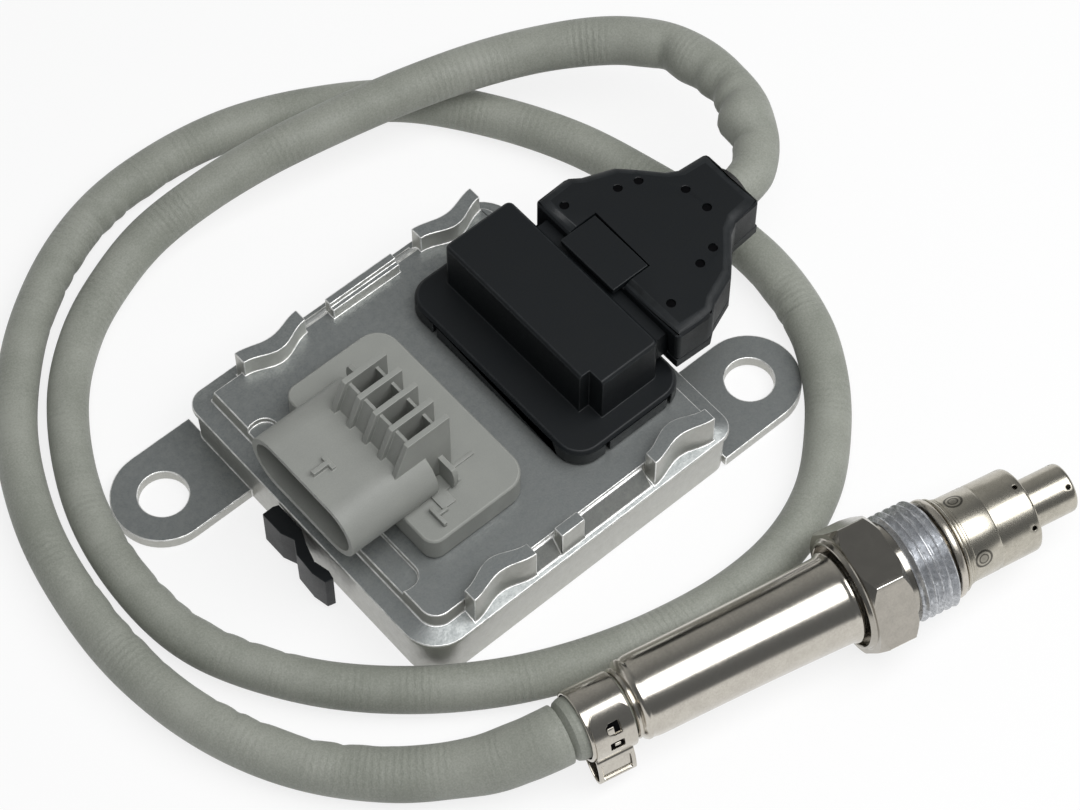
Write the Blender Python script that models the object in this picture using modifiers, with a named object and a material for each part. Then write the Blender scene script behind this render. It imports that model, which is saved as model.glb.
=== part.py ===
# Nitrogen oxide sensor: a cast control module with two connectors, and an exhaust probe on its cable.
# Everything lies on a table at Z = 0. X runs along the module, Y across it to the back, Z up.

import math

import bmesh
import bpy
from mathutils import Matrix, Vector

# All sizes are in metres.
GAP = 0.0003
CORNER_STEPS = 8
SPLINE_STEPS = 20

# Cast housing
HOUSING_LENGTH = 0.0692
HOUSING_WIDTH = 0.0672
ROUND_CORNER = 0.0070
EAR_CORNER = 0.0035
LIP_TOP = 0.0120
LIP_THICKNESS = 0.0011
LIP_OVERHANG = 0.0006
WALL_DRAFT = 0.0003
BAND_WIDTH = 0.0035
BAND_RISE = 0.0008
DECK_TOP = 0.0155
DECK_DRAFT = 0.0004
DECK_WALL = 0.0022
SIDE_WALL = 0.0022
LEDGE_WIDTH = 0.0027
LEDGE_UNDERSIDE = 0.0098
LEDGE_CORNER = 0.0090
SHELF_DEPTH = 0.0010
SHELF_FRONT = -0.0220
SHELF_BACK = 0.0203
SHELF_WIDTH = 0.0048

# Mounting ears
EAR_RADIUS = 0.0094
EAR_THICKNESS = 0.0025
EAR_HOLE = 0.0090
LEFT_EAR_REACH = 0.0114
LEFT_EAR_INSET = 0.0076
RIGHT_EAR_REACH = 0.0128
RIGHT_EAR_INSET = 0.0100
EAR_STEPS = 28
EAR_HOLE_SIDES = 40

# Bosses around the deck
WAVE_TOP = 0.0195
WAVE_THICKNESS = 0.0027
WAVE_LENGTH = 0.0137
WAVE_SWING = 0.0014
WAVE_BELLY = 0.0006
BACK_WAVE_INSET = 0.0021
FRONT_WAVE_INSET = 0.0009
BACK_WAVE_CENTRES = (-0.0175, 0.0223)
FRONT_WAVE_CENTRES = (-0.0174, 0.0229)
WAVE_STEPS = 14
BAR_BOSS = (-0.0052, 0.0098)
BAR_BOSS_INSET = 0.0032
BAR_BOSS_THICKNESS = 0.0015
BAR_BOSS_TOP = 0.0187
BAR_LEDGE_WIDTH = 0.0010
BAR_LEDGE_DROP = 0.0009
STUB_BOSS = (-0.0049, 0.0002)
STUB_BOSS_INSET = 0.0010
STUB_BOSS_THICKNESS = 0.0022
STUB_BOSS_TOP = 0.0185
SIDE_CHAMFER = (-0.0110, 0.0155)

# Base cover and its seal
COVER_THICKNESS = 0.0015
COVER_REBATE = 0.0013
COVER_SEAL_WIDTH = 0.0012
COVER_SEAL_HEIGHT = 0.0012

# Circuit board, chips and screws
BOARD_THICKNESS = 0.0016
SCREW_RADIUS = 0.00125
SCREW_HEAD_RADIUS = 0.0023
SCREW_HEAD_HEIGHT = 0.0013
SCREW_REACH = 0.0030
SCREW_INSET = 0.0034
CHIP_HEIGHT = 0.0016
CONTROLLER_CHIP = (-0.0044, 0.0084, -0.0070, 0.0070)
DRIVER_CHIP = (-0.0030, 0.0060, 0.0110, 0.0190)
CAPACITOR_RADIUS = 0.0024
CAPACITOR_HEIGHT = 0.0030
CAPACITOR_CENTRES = ((-0.0015, -0.0150), (0.0052, -0.0150))

# Seals under the two connectors
SEAL_OFFSET = 0.0010
SEAL_WIDTH = 0.0012
SEAL_HEIGHT = 0.0010
CONNECTOR_SINK = 0.0045

# Grey vehicle connector
PAD = (-0.0237, -0.0018, -0.0211, 0.0189)
PAD_TOP = 0.0212
PAD_CORNER = 0.0045
PAD_LEFT_CORNER = 0.0025
PAD_REST = 0.0037
SHROUD_MOUTH = -0.0350
SHROUD_BACK = -0.0165
SHROUD_CENTRE_Y = -0.0010
SHROUD_AXIS_Z = 0.0244
SHROUD_WIDTH = 0.0269
SHROUD_HEIGHT = 0.0122
SHROUD_WALL = 0.0012
SOCKET_DEPTH = 0.0110
SHROUD_STEPS = 14
SHROUD_COLLAR_THICKNESS = 0.0010
SHROUD_COLLAR_REACH = 0.0009
SHROUD_COLLAR_PLACE = -0.0139
SHROUD_COLLAR_TOP = 0.0270
RIB_COUNT = 5
RIB_CENTRE_Y = -0.0025
RIB_PITCH = 0.00405
RIB_THICKNESS = 0.0011
RIB_TOP = 0.0370
RIB_LEFT = -0.0200
RIB_RIGHT = -0.0110
RIB_FOOT = -0.0232
WEB_THICKNESS = 0.0006
LEFT_WEB = -0.0193
LEFT_WEB_TOP = 0.0362
RIGHT_WEB = -0.0136
RIGHT_WEB_TOP = 0.0354
POCKET_FLOOR = 0.0270
PIN_COUNT = 4
PIN_TIP = -0.0315
PIN_LEG = -0.0160
PIN_THICKNESS = 0.0008
PIN_WIDTH = 0.0013
PIN_TAIL = 0.0006
KEY_STEM = (-0.0330, -0.0300)
KEY_CENTRE_Y = -0.0019
KEY_BAR_LENGTH = 0.0029
KEY_WIDTH = 0.0009
KEY_HEIGHT = 0.0010

# Black sensor header
FLANGE = (0.0058, 0.0315, -0.0240, 0.0222)
FLANGE_TOP = 0.0195
FLANGE_CORNER = 0.0050
FLANGE_EDGE = 0.0006
FLANGE_REST = 0.0041
HEADER = (0.0130, 0.0281, -0.0198, 0.0193)
HEADER_TOP = 0.0303
HEADER_EDGE = 0.0005
HEADER_CORNER = 0.0012
NOTCH = (0.0022, 0.0034)
SLIT_WIDTH = 0.0010
SLIT_HEIGHT = 0.0030
LEFT_SLITS = (0.0136, -0.0170)
FRONT_SLITS = (0.0130, 0.0270)
MOUTH_BACK = 0.0170
MOUTH_HALF_WIDTH = 0.0158
MOUTH_FLOOR = 0.0216
MOUTH_ROOF = 0.0285
SENSOR_PIN_COUNT = 5
SENSOR_PIN_PITCH = 0.0052
SENSOR_PIN_AXIS_Z = 0.0250
SENSOR_PIN_LEG = 0.0146
SENSOR_PIN_TIP = 0.0255

# Cable plug
PLUG_CENTRE_Y = -0.0028
PLUG_BOTTOM = 0.0200
PLUG_TOP = 0.0310
PLUG_SEAM = 0.0234
PLUG_WALL = 0.0013
PLUG_EDGE = 0.0010
PLUG_FRONT = 0.0309
PLUG_BACK = 0.0606
PLUG_HALF_WIDTHS = (0.0186, 0.0189, 0.0174, 0.0152, 0.0124, 0.0088, 0.0074, 0.0069)
PLUG_STATIONS = (0.0, 0.0076, 0.0096, 0.0153, 0.0181, 0.0213, 0.0236, 0.0297)
PLUG_NECK = 0.0070
CARRIER_FRONT = 0.0180
CARRIER_BACK = 0.0360
CONTACT_BORE = 0.0012
LATCH_WIDTH = 0.0138
LATCH_CENTRE_Y = -0.0003
LATCH_LENGTH = 0.0058
LATCH_THICKNESS = 0.0012
LATCH_TONGUE = 0.0025
DIMPLE_RADIUS = 0.0009
DIMPLE_DEPTH = 0.0008
DIMPLES = ((0.0340, 0.0116), (0.0435, 0.0083), (0.0473, 0.0071), (0.0523, 0.0004),
           (0.0525, -0.0049), (0.0476, -0.0118), (0.0437, -0.0128), (0.0344, -0.0156))
LEAD_RADIUS = 0.00065
LEAD_CLEARANCE = 0.0003
LEAD_RING = 0.0020
GROMMET_RADIUS = 0.0050
GROMMET_PROUD = 0.0003

# Spring clip on the module's left wall, as (distance out from the wall, Y)
CLIP_OUTLINE = ((0.0, 0.0076), (0.0010, 0.0080), (0.0033, 0.0080), (0.0033, 0.0030), (0.0023, 0.0005),
                (0.0038, -0.0020), (0.0041, -0.0065), (0.0035, -0.0094), (0.0020, -0.0098),
                (0.0016, -0.0080), (0.0023, -0.0050), (0.0013, -0.0015), (0.0001, 0.0012))
CLIP_BOTTOM = 0.0010
CLIP_TOP = 0.0098

# Cable
CABLE_RADIUS = 0.0040
CABLE_POINTS = 72
CABLE_STRAIGHT = 0.0020
CABLE_ROUTE = (
    (0.0675, -0.0016, 0.0254), (0.0719, 0.0015, 0.0250), (0.0753, 0.0066, 0.0244),
    (0.0777, 0.0128, 0.0235), (0.0787, 0.0202, 0.0225), (0.0778, 0.0274, 0.0213),
    (0.0749, 0.0346, 0.0199), (0.0692, 0.0416, 0.0184), (0.0604, 0.0484, 0.0168),
    (0.0495, 0.0540, 0.0155), (0.0365, 0.0587, 0.0144), (0.0228, 0.0624, 0.0134),
    (0.0090, 0.0656, 0.0120), (-0.0040, 0.0679, 0.0094), (-0.0160, 0.0686, 0.0066),
    (-0.0270, 0.0660, 0.0049), (-0.0370, 0.0610, 0.0043), (-0.0465, 0.0526, 0.0042),
    (-0.0542, 0.0410, 0.0042), (-0.0592, 0.0285, 0.0042), (-0.0613, 0.0150, 0.0042),
    (-0.0606, 0.0015, 0.0042), (-0.0564, -0.0098, 0.0042), (-0.0484, -0.0219, 0.0042),
    (-0.0380, -0.0323, 0.0042), (-0.0258, -0.0410, 0.0042), (-0.0128, -0.0473, 0.0042),
    (0.0010, -0.0516, 0.0042), (0.0152, -0.0539, 0.0042), (0.0286, -0.0531, 0.0042),
    (0.0404, -0.0486, 0.0042), (0.0502, -0.0408, 0.0042), (0.0576, -0.0320, 0.0042),
    (0.0629, -0.0218, 0.0042), (0.0655, -0.0085, 0.0042), (0.0646, 0.0055, 0.0042),
    (0.0616, 0.0200, 0.0042), (0.0572, 0.0350, 0.0042), (0.0496, 0.0498, 0.0042),
    (0.0394, 0.0631, 0.0042), (0.0265, 0.0724, 0.0042), (0.0120, 0.0790, 0.0042),
    (-0.0035, 0.0817, 0.0042), (-0.0185, 0.0808, 0.0042), (-0.0330, 0.0754, 0.0042),
    (-0.0468, 0.0656, 0.0042), (-0.0587, 0.0516, 0.0042), (-0.0667, 0.0347, 0.0042),
    (-0.0704, 0.0166, 0.0042), (-0.0706, -0.0010, 0.0042), (-0.0672, -0.0170, 0.0042),
    (-0.0602, -0.0312, 0.0042), (-0.0505, -0.0424, 0.0047), (-0.0398, -0.0508, 0.0065),
    (-0.0330, -0.0548, 0.0092))

# Probe, with sizes measured along its axis from the rear edge of the long tube
PROBE_REAR = Vector((-0.0138, -0.0601))
PROBE_HEADING = math.radians(-12.4)
PROBE_SIDES = 32
NECK_RADIUS = 0.0046
NECK_REAR = -0.0100
TUBE_WALL = 0.0007
TUBE_REAR_RADIUS = 0.0073
TUBE_FRONT_RADIUS = 0.0080
TUBE_FRONT = 0.0403
BEAD_LENGTH = 0.0008
BEAD_RISE = 0.0002
GROOVE_DEPTH = 0.0004
BOOT_REAR = -0.0130
BOOT_WALL = 0.0007
BOOT_MOUTH = 0.0028
BAND_THICKNESS = 0.0006
BAND_REAR = -0.0105
BAND_FRONT = -0.0023
CLAMP_EAR_LENGTH = 0.0070
CLAMP_EAR_REACH = 0.0046
CLAMP_EAR_THICKNESS = 0.0028
CLAMP_EAR_TURN = math.radians(-45)
HEX_ACROSS_FLATS = 0.0220
HEX_REAR = 0.0414
HEX_FRONT = 0.0489
HEX_CHAMFER = 0.0012
FITTING_COLLAR_RADIUS = 0.0099
FITTING_COLLAR_REAR = 0.0406
THREAD_RADIUS = 0.0100
RELIEF_RADIUS = 0.0090
THREAD_REAR = 0.0508
THREAD_FRONT = 0.0582
FITTING_CLEARANCE = 0.0004
FITTING_RECESS_RADIUS = 0.0091
FITTING_RECESS_DEPTH = 0.0020
BODY_REAR = 0.0365
BODY_FRONT = 0.0670
BODY_BORE = 0.0055
BODY_BORE_FRONT = 0.0580
BODY_NOSE_BORE = 0.0030
SPIGOT_RADIUS = 0.0049
GASKET_RADIUS = 0.0092
GASKET_THICKNESS = 0.0014
GASKET_SETBACK = 0.0007
BUSH_LENGTH = 0.0075
TALC_LENGTH = 0.0059
ELEMENT_WIDTH = 0.0039
ELEMENT_THICKNESS = 0.0017
ELEMENT_REAR = 0.0200
ELEMENT_FRONT = 0.0720
INSULATOR_REAR = 0.0060
INSULATOR_SHOULDER = 0.0300
INSULATOR_NOSE = 0.0048
OUTER_TUBE_RADIUS = 0.0077
OUTER_TUBE_END = 0.0760
OUTER_TUBE_EDGE = 0.0004
NOZZLE_END = 0.0854
NOZZLE_RADIUS = 0.0045
PROTECTION_WALL = 0.0005
INNER_TUBE_END = 0.0730
INNER_NOSE_START = 0.0755
INNER_NOSE_END = 0.0810
INNER_NOSE_RADIUS = 0.0028
GAS_HOLE_RADIUS = 0.00055
OUTER_HOLE_COUNT = 6
OUTER_HOLE_TURN = math.radians(-5)
OUTER_HOLE_SETBACK = 0.0014
NOZZLE_HOLE_COUNT = 4
NOZZLE_HOLE_TURN = math.radians(28)
NOZZLE_HOLE_SETBACK = 0.0012
INNER_HOLE_REACH = 0.0015
PROBE_LEAD_RING = 0.0019
INSULATOR_LEAD_RING = 0.0032
INSULATOR_LEAD_DEPTH = 0.0120

for old in list(bpy.data.objects):
    bpy.data.objects.remove(old)

parts = bpy.data.collections.new("nitrogen_oxide_sensor")
cutters = bpy.data.collections.new("cutters")
bpy.context.scene.collection.children.link(parts)
bpy.context.scene.collection.children.link(cutters)


def material(name, colour, roughness, metallic=0.0):
    shade = bpy.data.materials.new(name)
    shade.use_nodes = True
    surface = shade.node_tree.nodes["Principled BSDF"]
    surface.inputs["Base Color"].default_value = (*colour, 1)
    surface.inputs["Roughness"].default_value = roughness
    surface.inputs["Metallic"].default_value = metallic
    shade.diffuse_color = (*colour, 1)
    return shade


cast_alloy = material("cast_alloy", (0.36, 0.38, 0.39), 0.45, 1.0)
zinc_steel = material("zinc_steel", (0.50, 0.50, 0.48), 0.40, 1.0)
stainless = material("stainless", (0.58, 0.54, 0.48), 0.22, 1.0)
satin_stainless = material("satin_stainless", (0.56, 0.52, 0.45), 0.35, 1.0)
grey_plastic = material("grey_plastic", (0.28, 0.28, 0.26), 0.60)
black_plastic = material("black_plastic", (0.015, 0.018, 0.022), 0.50)
grey_sleeve = material("grey_sleeve", (0.25, 0.27, 0.25), 0.75)
dark_rubber = material("dark_rubber", (0.02, 0.02, 0.02), 0.80)
board_green = material("board_green", (0.02, 0.12, 0.05), 0.50)
chip_black = material("chip_black", (0.02, 0.02, 0.02), 0.45)
plated_copper = material("plated_copper", (0.60, 0.52, 0.35), 0.30, 1.0)
ceramic = material("ceramic", (0.75, 0.73, 0.68), 0.55)
talc = material("talc", (0.55, 0.54, 0.50), 0.90)
lead_skin = material("lead_skin", (0.30, 0.08, 0.05), 0.55)


def add_object(name, mesh, shade):
    thing = bpy.data.objects.new(name, mesh)
    parts.objects.link(thing)
    thing.data.materials.clear()
    thing.data.materials.append(shade)
    return thing


def finish_mesh(name, work, shade):
    bmesh.ops.recalc_face_normals(work, faces=work.faces)
    mesh = bpy.data.meshes.new(name)
    work.to_mesh(mesh)
    work.free()
    return add_object(name, mesh, shade)


def box(name, low, high, shade):
    work = bmesh.new()
    bmesh.ops.create_cube(work, size=1)
    low = Vector(low)
    high = Vector(high)
    bmesh.ops.scale(work, vec=high - low, verts=work.verts)
    bmesh.ops.translate(work, vec=(low + high) / 2, verts=work.verts)
    return finish_mesh(name, work, shade)


def rounded_rectangle(bounds, radii, inset=0.0):
    # Counter-clockwise from the front left corner. Each corner keeps its centre as the sides move in.
    left, right, front, back = bounds
    left += inset
    right -= inset
    front += inset
    back -= inset
    corners = ((left, front, 1, 1), (right, front, -1, 1), (right, back, -1, -1), (left, back, 1, -1))
    points = []
    for turn, ((x, y, to_x, to_y), radius) in enumerate(zip(corners, radii)):
        radius = max(radius - inset, GAP)
        for step in range(CORNER_STEPS + 1):
            angle = math.pi * (1 + turn / 2) + math.pi / 2 * step / CORNER_STEPS
            points.append((x + to_x * radius + radius * math.cos(angle),
                           y + to_y * radius + radius * math.sin(angle)))
    return points


def stack(name, levels, shade):
    # A loft through outlines with the same number of points, each at its own height.
    work = bmesh.new()
    rings = [[work.verts.new((x, y, height)) for x, y in outline] for height, outline in levels]
    for lower, upper in zip(rings, rings[1:]):
        for index in range(len(lower)):
            work.faces.new((lower[index - 1], lower[index], upper[index], upper[index - 1]))
    work.faces.new(rings[0])
    work.faces.new(rings[-1])
    return finish_mesh(name, work, shade)


def curve_to_mesh(name, curve, matrix, shade):
    holder = bpy.data.objects.new(name + "_curve", curve)
    bpy.context.scene.collection.objects.link(holder)
    holder.matrix_world = matrix
    bpy.context.view_layer.update()
    evaluated = holder.evaluated_get(bpy.context.evaluated_depsgraph_get())
    mesh = bpy.data.meshes.new_from_object(evaluated)
    mesh.name = name
    mesh.transform(holder.matrix_world)
    bpy.data.objects.remove(holder)
    work = bmesh.new()
    work.from_mesh(mesh)
    bmesh.ops.remove_doubles(work, verts=work.verts, dist=1e-6)
    bmesh.ops.recalc_face_normals(work, faces=work.faces)
    work.to_mesh(mesh)
    work.free()
    return add_object(name, mesh, shade)


# Columns are where an outline's two axes and its thickness point in the world.
FACINGS = {"XY": Matrix(((1, 0, 0), (0, 1, 0), (0, 0, 1))),
           "XZ": Matrix(((1, 0, 0), (0, 0, -1), (0, 1, 0))),
           "YZ": Matrix(((0, 0, 1), (1, 0, 0), (0, 1, 0)))}
DEPTHS = {"XY": Vector((0, 0, 1)), "XZ": Vector((0, 1, 0)), "YZ": Vector((1, 0, 0))}


def prism(name, outlines, facing, low, high, shade):
    curve = bpy.data.curves.new(name, "CURVE")
    curve.dimensions = "2D"
    curve.fill_mode = "BOTH"
    curve.extrude = (high - low) / 2
    for outline in outlines:
        spline = curve.splines.new("POLY")
        spline.points.add(len(outline) - 1)
        spline.use_cyclic_u = True
        for point, (across, along) in zip(spline.points, outline):
            point.co = (across, along, 0, 1)
    place = Matrix.Translation(DEPTHS[facing] * (low + high) / 2) @ FACINGS[facing].to_4x4()
    return curve_to_mesh(name, curve, place, shade)


def smooth_route(route, count):
    # Catmull-Rom spline through the route, sampled at even steps of its length.
    dense = []
    padded = [route[0] * 2 - route[1], *route, route[-1] * 2 - route[-2]]
    for before, start, end, after in zip(padded, padded[1:], padded[2:], padded[3:]):
        for step in range(SPLINE_STEPS):
            t = step / SPLINE_STEPS
            dense.append(0.5 * (2 * start + (end - before) * t
                                + (2 * before - 5 * start + 4 * end - after) * t ** 2
                                + (3 * start - before - 3 * end + after) * t ** 3))
    dense.append(route[-1])
    lengths = [0.0]
    for a, b in zip(dense, dense[1:]):
        lengths.append(lengths[-1] + (b - a).length)
    samples = []
    place = 0
    for step in range(count):
        wanted = lengths[-1] * step / (count - 1)
        while place < len(dense) - 2 and lengths[place + 1] < wanted:
            place += 1
        share = (wanted - lengths[place]) / (lengths[place + 1] - lengths[place])
        samples.append(dense[place].lerp(dense[place + 1], min(share, 1)))
    return samples


def tube(name, points, radius, shade, resolution=2):
    curve = bpy.data.curves.new(name, "CURVE")
    curve.dimensions = "3D"
    curve.bevel_depth = radius
    curve.bevel_resolution = resolution
    curve.use_fill_caps = True
    spline = curve.splines.new("POLY")
    spline.points.add(len(points) - 1)
    for point, place in zip(spline.points, points):
        point.co = (*place, 1)
    thing = curve_to_mesh(name, curve, Matrix.Identity(4), shade)
    thing.data.shade_smooth()
    thing.data.set_sharp_from_angle(angle=math.radians(50))
    return thing


def disc(name, centre, radius, low, high, shade, sides=24):
    work = bmesh.new()
    bmesh.ops.create_cone(work, cap_ends=True, segments=sides, radius1=radius, radius2=radius,
                          depth=high - low)
    bmesh.ops.translate(work, vec=(centre[0], centre[1], (low + high) / 2), verts=work.verts)
    return finish_mesh(name, work, shade)


def make_cutter(tool):
    parts.objects.unlink(tool)
    cutters.objects.link(tool)
    tool.display_type = "WIRE"
    tool.hide_render = True
    return tool


def boolean(target, tool, operation):
    if tool.name not in cutters.objects:
        make_cutter(tool)
    step = target.modifiers.new(tool.name, "BOOLEAN")
    step.operation = operation
    step.solver = "EXACT"
    step.object = tool


def join(target, tool):
    boolean(target, tool, "UNION")


def cut(target, tool):
    boolean(target, tool, "DIFFERENCE")


# The probe lies on a flat of its hexagon. In its own frame, Z runs towards its tip and X points up.
heading = Vector((math.cos(PROBE_HEADING), math.sin(PROBE_HEADING), 0))
sideways = heading.cross(Vector((0, 0, 1)))
probe_frame = Matrix.Translation((*PROBE_REAR, HEX_ACROSS_FLATS / 2)) @ Matrix(
    ((0, sideways.x, heading.x), (0, sideways.y, heading.y), (1, 0, 0))).to_4x4()


def turned(name, outer, inner, shade, matrix=probe_frame, sides=PROBE_SIDES):
    # Profiles hold (distance along the axis, radius) from the rear to the front.
    if inner:
        profile = [*reversed(outer), *inner]
    else:
        profile = [(outer[-1][0], 0), *reversed(outer), (outer[0][0], 0)]
    pairs = [(index, index + 1) for index in range(len(profile) - 1)]
    if inner:
        pairs.append((len(profile) - 1, 0))
    mesh = bpy.data.meshes.new(name)
    mesh.from_pydata([(radius, 0, place) for place, radius in profile], pairs, [])
    thing = add_object(name, mesh, shade)
    spin = thing.modifiers.new("spin", "SCREW")
    spin.axis = "Z"
    spin.steps = sides
    spin.render_steps = sides
    spin.use_merge_vertices = True
    spin.merge_threshold = 1e-6
    thing.matrix_world = matrix
    return thing


def probe_point(along, radius=0.0, angle=0.0):
    # The angle is turned about the axis from straight up.
    return probe_frame @ Vector((radius * math.cos(angle), radius * math.sin(angle), along))


def grow(bounds, amount):
    left, right, front, back = bounds
    return left - amount, right + amount, front - amount, back + amount


half_length = HOUSING_LENGTH / 2
half_width = HOUSING_WIDTH / 2
housing_bounds = (-half_length, half_length, -half_width, half_width)
left_ear = Vector((-half_length - LEFT_EAR_REACH, half_width - LEFT_EAR_INSET))
right_ear = Vector((half_length + RIGHT_EAR_REACH, -half_width + RIGHT_EAR_INSET))
back_wave_face = half_width - BACK_WAVE_INSET
front_wave_face = -half_width + FRONT_WAVE_INSET
bar_boss_face = half_width - BAR_BOSS_INSET
stub_boss_face = -half_width + STUB_BOSS_INSET
housing_radii = (ROUND_CORNER, EAR_CORNER, ROUND_CORNER, EAR_CORNER)
foot_inset = LIP_OVERHANG + WALL_DRAFT
cavity_inset = foot_inset + SIDE_WALL
pocket_inset = cavity_inset + LEDGE_WIDTH
deck_inset = BAND_WIDTH
deck_left = -half_length + deck_inset
ceiling = DECK_TOP - DECK_WALL
board_top = LEDGE_UNDERSIDE - GAP
board_bottom = board_top - BOARD_THICKNESS
connector_bottom = DECK_TOP + GAP
buried = LIP_TOP - LIP_THICKNESS
vehicle_body = grow(PAD, -PAD_REST)
sensor_body_bounds = grow(FLANGE, -FLANGE_REST)
screw_x = half_length - cavity_inset - SCREW_INSET
screw_y = half_width - cavity_inset - SCREW_INSET
screw_places = ((-screw_x, -screw_y), (screw_x, -screw_y), (screw_x, screw_y), (-screw_x, screw_y))


first_vehicle_pin = RIB_CENTRE_Y - RIB_PITCH * (PIN_COUNT - 1) / 2
first_sensor_pin = PLUG_CENTRE_Y - SENSOR_PIN_PITCH * (SENSOR_PIN_COUNT - 1) / 2
bundle_radius = LEAD_RING + LEAD_RADIUS + LEAD_CLEARANCE
cable_axis_z = (PLUG_BOTTOM + PLUG_TOP) / 2
cable_start = Vector((PLUG_BACK + GROMMET_PROUD + GAP, PLUG_CENTRE_Y, cable_axis_z))
boot_outer = NECK_RADIUS + GAP + BOOT_WALL
band_inner = boot_outer + GAP
spigot_radius = OUTER_TUBE_RADIUS - PROTECTION_WALL - GAP
gasket_rear = THREAD_FRONT + GASKET_SETBACK
gasket_front = gasket_rear + GASKET_THICKNESS
outer_tube_rear = gasket_front + GAP
spigot_front = outer_tube_rear + (BODY_FRONT - outer_tube_rear) / 2
tube_inside_rear = TUBE_REAR_RADIUS - GROOVE_DEPTH - TUBE_WALL


def along_x(origin):
    return Matrix.Translation(origin) @ FACINGS["YZ"].to_4x4()


def housing_outline(inset):
    return rounded_rectangle(housing_bounds, housing_radii, inset)


def wave_outline(centre, face, inward):
    # A strip that swings towards the deck at its middle and is a little thicker there.
    outer = []
    inner = []
    for step in range(WAVE_STEPS + 1):
        share = step / WAVE_STEPS
        x = centre + WAVE_LENGTH * (share - 0.5)
        swing = math.sin(math.pi * share) ** 2
        outer.append((x, face + inward * WAVE_SWING * swing))
        inner.append((x, face + inward * (WAVE_THICKNESS + (WAVE_SWING + WAVE_BELLY) * swing)))
    return outer + inner[::-1]


def ear_outline(centre, wall_x):
    out = math.copysign(1, centre.x)
    points = [(wall_x, centre.y - EAR_RADIUS * out)]
    for step in range(EAR_STEPS + 1):
        angle = -math.pi / 2 + math.pi * step / EAR_STEPS
        points.append((centre.x + out * EAR_RADIUS * math.cos(angle),
                       centre.y + out * EAR_RADIUS * math.sin(angle)))
    points.append((wall_x, centre.y + EAR_RADIUS * out))
    return points


def make_housing():
    housing = stack("module_housing", (
        (0, housing_outline(foot_inset)),
        (buried, housing_outline(LIP_OVERHANG)),
        (buried, housing_outline(0)),
        (LIP_TOP, housing_outline(0)),
        (LIP_TOP + BAND_RISE, housing_outline(deck_inset)),
        (DECK_TOP, housing_outline(deck_inset + DECK_DRAFT))), cast_alloy)
    wall_middle = half_length - foot_inset - SIDE_WALL / 4
    for label, centre in (("left", left_ear), ("right", right_ear)):
        wall_x = math.copysign(wall_middle, centre.x)
        join(housing, prism(label + "_ear", [ear_outline(centre, wall_x)], "XY",
                            0, EAR_THICKNESS, cast_alloy))
        cut(housing, disc(label + "_ear_hole", centre, EAR_HOLE / 2, -EAR_THICKNESS,
                          2 * EAR_THICKNESS, cast_alloy, EAR_HOLE_SIDES))
    waves = [(centre, back_wave_face, -1) for centre in BACK_WAVE_CENTRES]
    waves += [(centre, front_wave_face, 1) for centre in FRONT_WAVE_CENTRES]
    for number, (centre, face, inward) in enumerate(waves, 1):
        join(housing, prism(f"wave_boss_{number}", [wave_outline(centre, face, inward)], "XY",
                            buried, WAVE_TOP, cast_alloy))
    join(housing, box("bar_boss", (BAR_BOSS[0], bar_boss_face - BAR_BOSS_THICKNESS, buried),
                      (BAR_BOSS[1], bar_boss_face, BAR_BOSS_TOP), cast_alloy))
    join(housing, box("bar_ledge",
                      (BAR_BOSS[0], bar_boss_face - BAR_BOSS_THICKNESS - BAR_LEDGE_WIDTH, buried),
                      (BAR_BOSS[1], bar_boss_face - BAR_BOSS_THICKNESS / 2,
                       BAR_BOSS_TOP - BAR_LEDGE_DROP), cast_alloy))
    join(housing, box("stub_boss", (STUB_BOSS[0], stub_boss_face, buried),
                      (STUB_BOSS[1], stub_boss_face + STUB_BOSS_THICKNESS, STUB_BOSS_TOP), cast_alloy))
    for label, side in (("front", -1), ("back", 1)):
        slope = ((side * (half_width - 2 * GAP), LIP_TOP - GAP),
                 (side * (half_width - deck_inset), DECK_TOP - GAP),
                 (side * (half_width - 2 * deck_inset), DECK_TOP - GAP),
                 (side * (half_width - 2 * deck_inset), LIP_TOP - GAP))
        join(housing, prism(label + "_slope", [slope], "YZ", *SIDE_CHAMFER, cast_alloy))
    shelf = (deck_left - BAND_WIDTH / 4, deck_left + SHELF_WIDTH, SHELF_FRONT, SHELF_BACK)
    cut(housing, stack("shroud_shelf", (
        (DECK_TOP - SHELF_DEPTH, rounded_rectangle(shelf, [PAD_LEFT_CORNER] * 4)),
        (DECK_TOP + SHELF_DEPTH, rounded_rectangle(shelf, [PAD_LEFT_CORNER] * 4))), cast_alloy))
    for label, bounds, radius in (("vehicle", vehicle_body, PAD_LEFT_CORNER),
                                  ("sensor", sensor_body_bounds, FLANGE_CORNER / 2)):
        opening = rounded_rectangle(grow(bounds, GAP), [radius] * 4)
        cut(housing, stack(label + "_window", (
            (ceiling - DECK_WALL, opening), (DECK_TOP + DECK_WALL, opening)), cast_alloy))
    for number, place in enumerate(screw_places, 1):
        cut(housing, disc(f"screw_hole_{number}", place, SCREW_RADIUS + GAP,
                          LEDGE_UNDERSIDE - DECK_WALL, LEDGE_UNDERSIDE + SCREW_REACH + GAP,
                          cast_alloy, 16))
    rebate = rounded_rectangle(housing_bounds, housing_radii, cavity_inset - COVER_REBATE)
    chamber = rounded_rectangle(housing_bounds, housing_radii, cavity_inset)
    pocket = rounded_rectangle(grow(housing_bounds, -pocket_inset), [LEDGE_CORNER] * 4)
    cut(housing, stack("chamber", (
        (-COVER_THICKNESS, rebate), (COVER_THICKNESS + GAP, rebate),
        (COVER_THICKNESS + GAP, chamber), (LEDGE_UNDERSIDE, chamber),
        (LEDGE_UNDERSIDE, pocket), (ceiling, pocket)), cast_alloy))
    return housing


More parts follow.
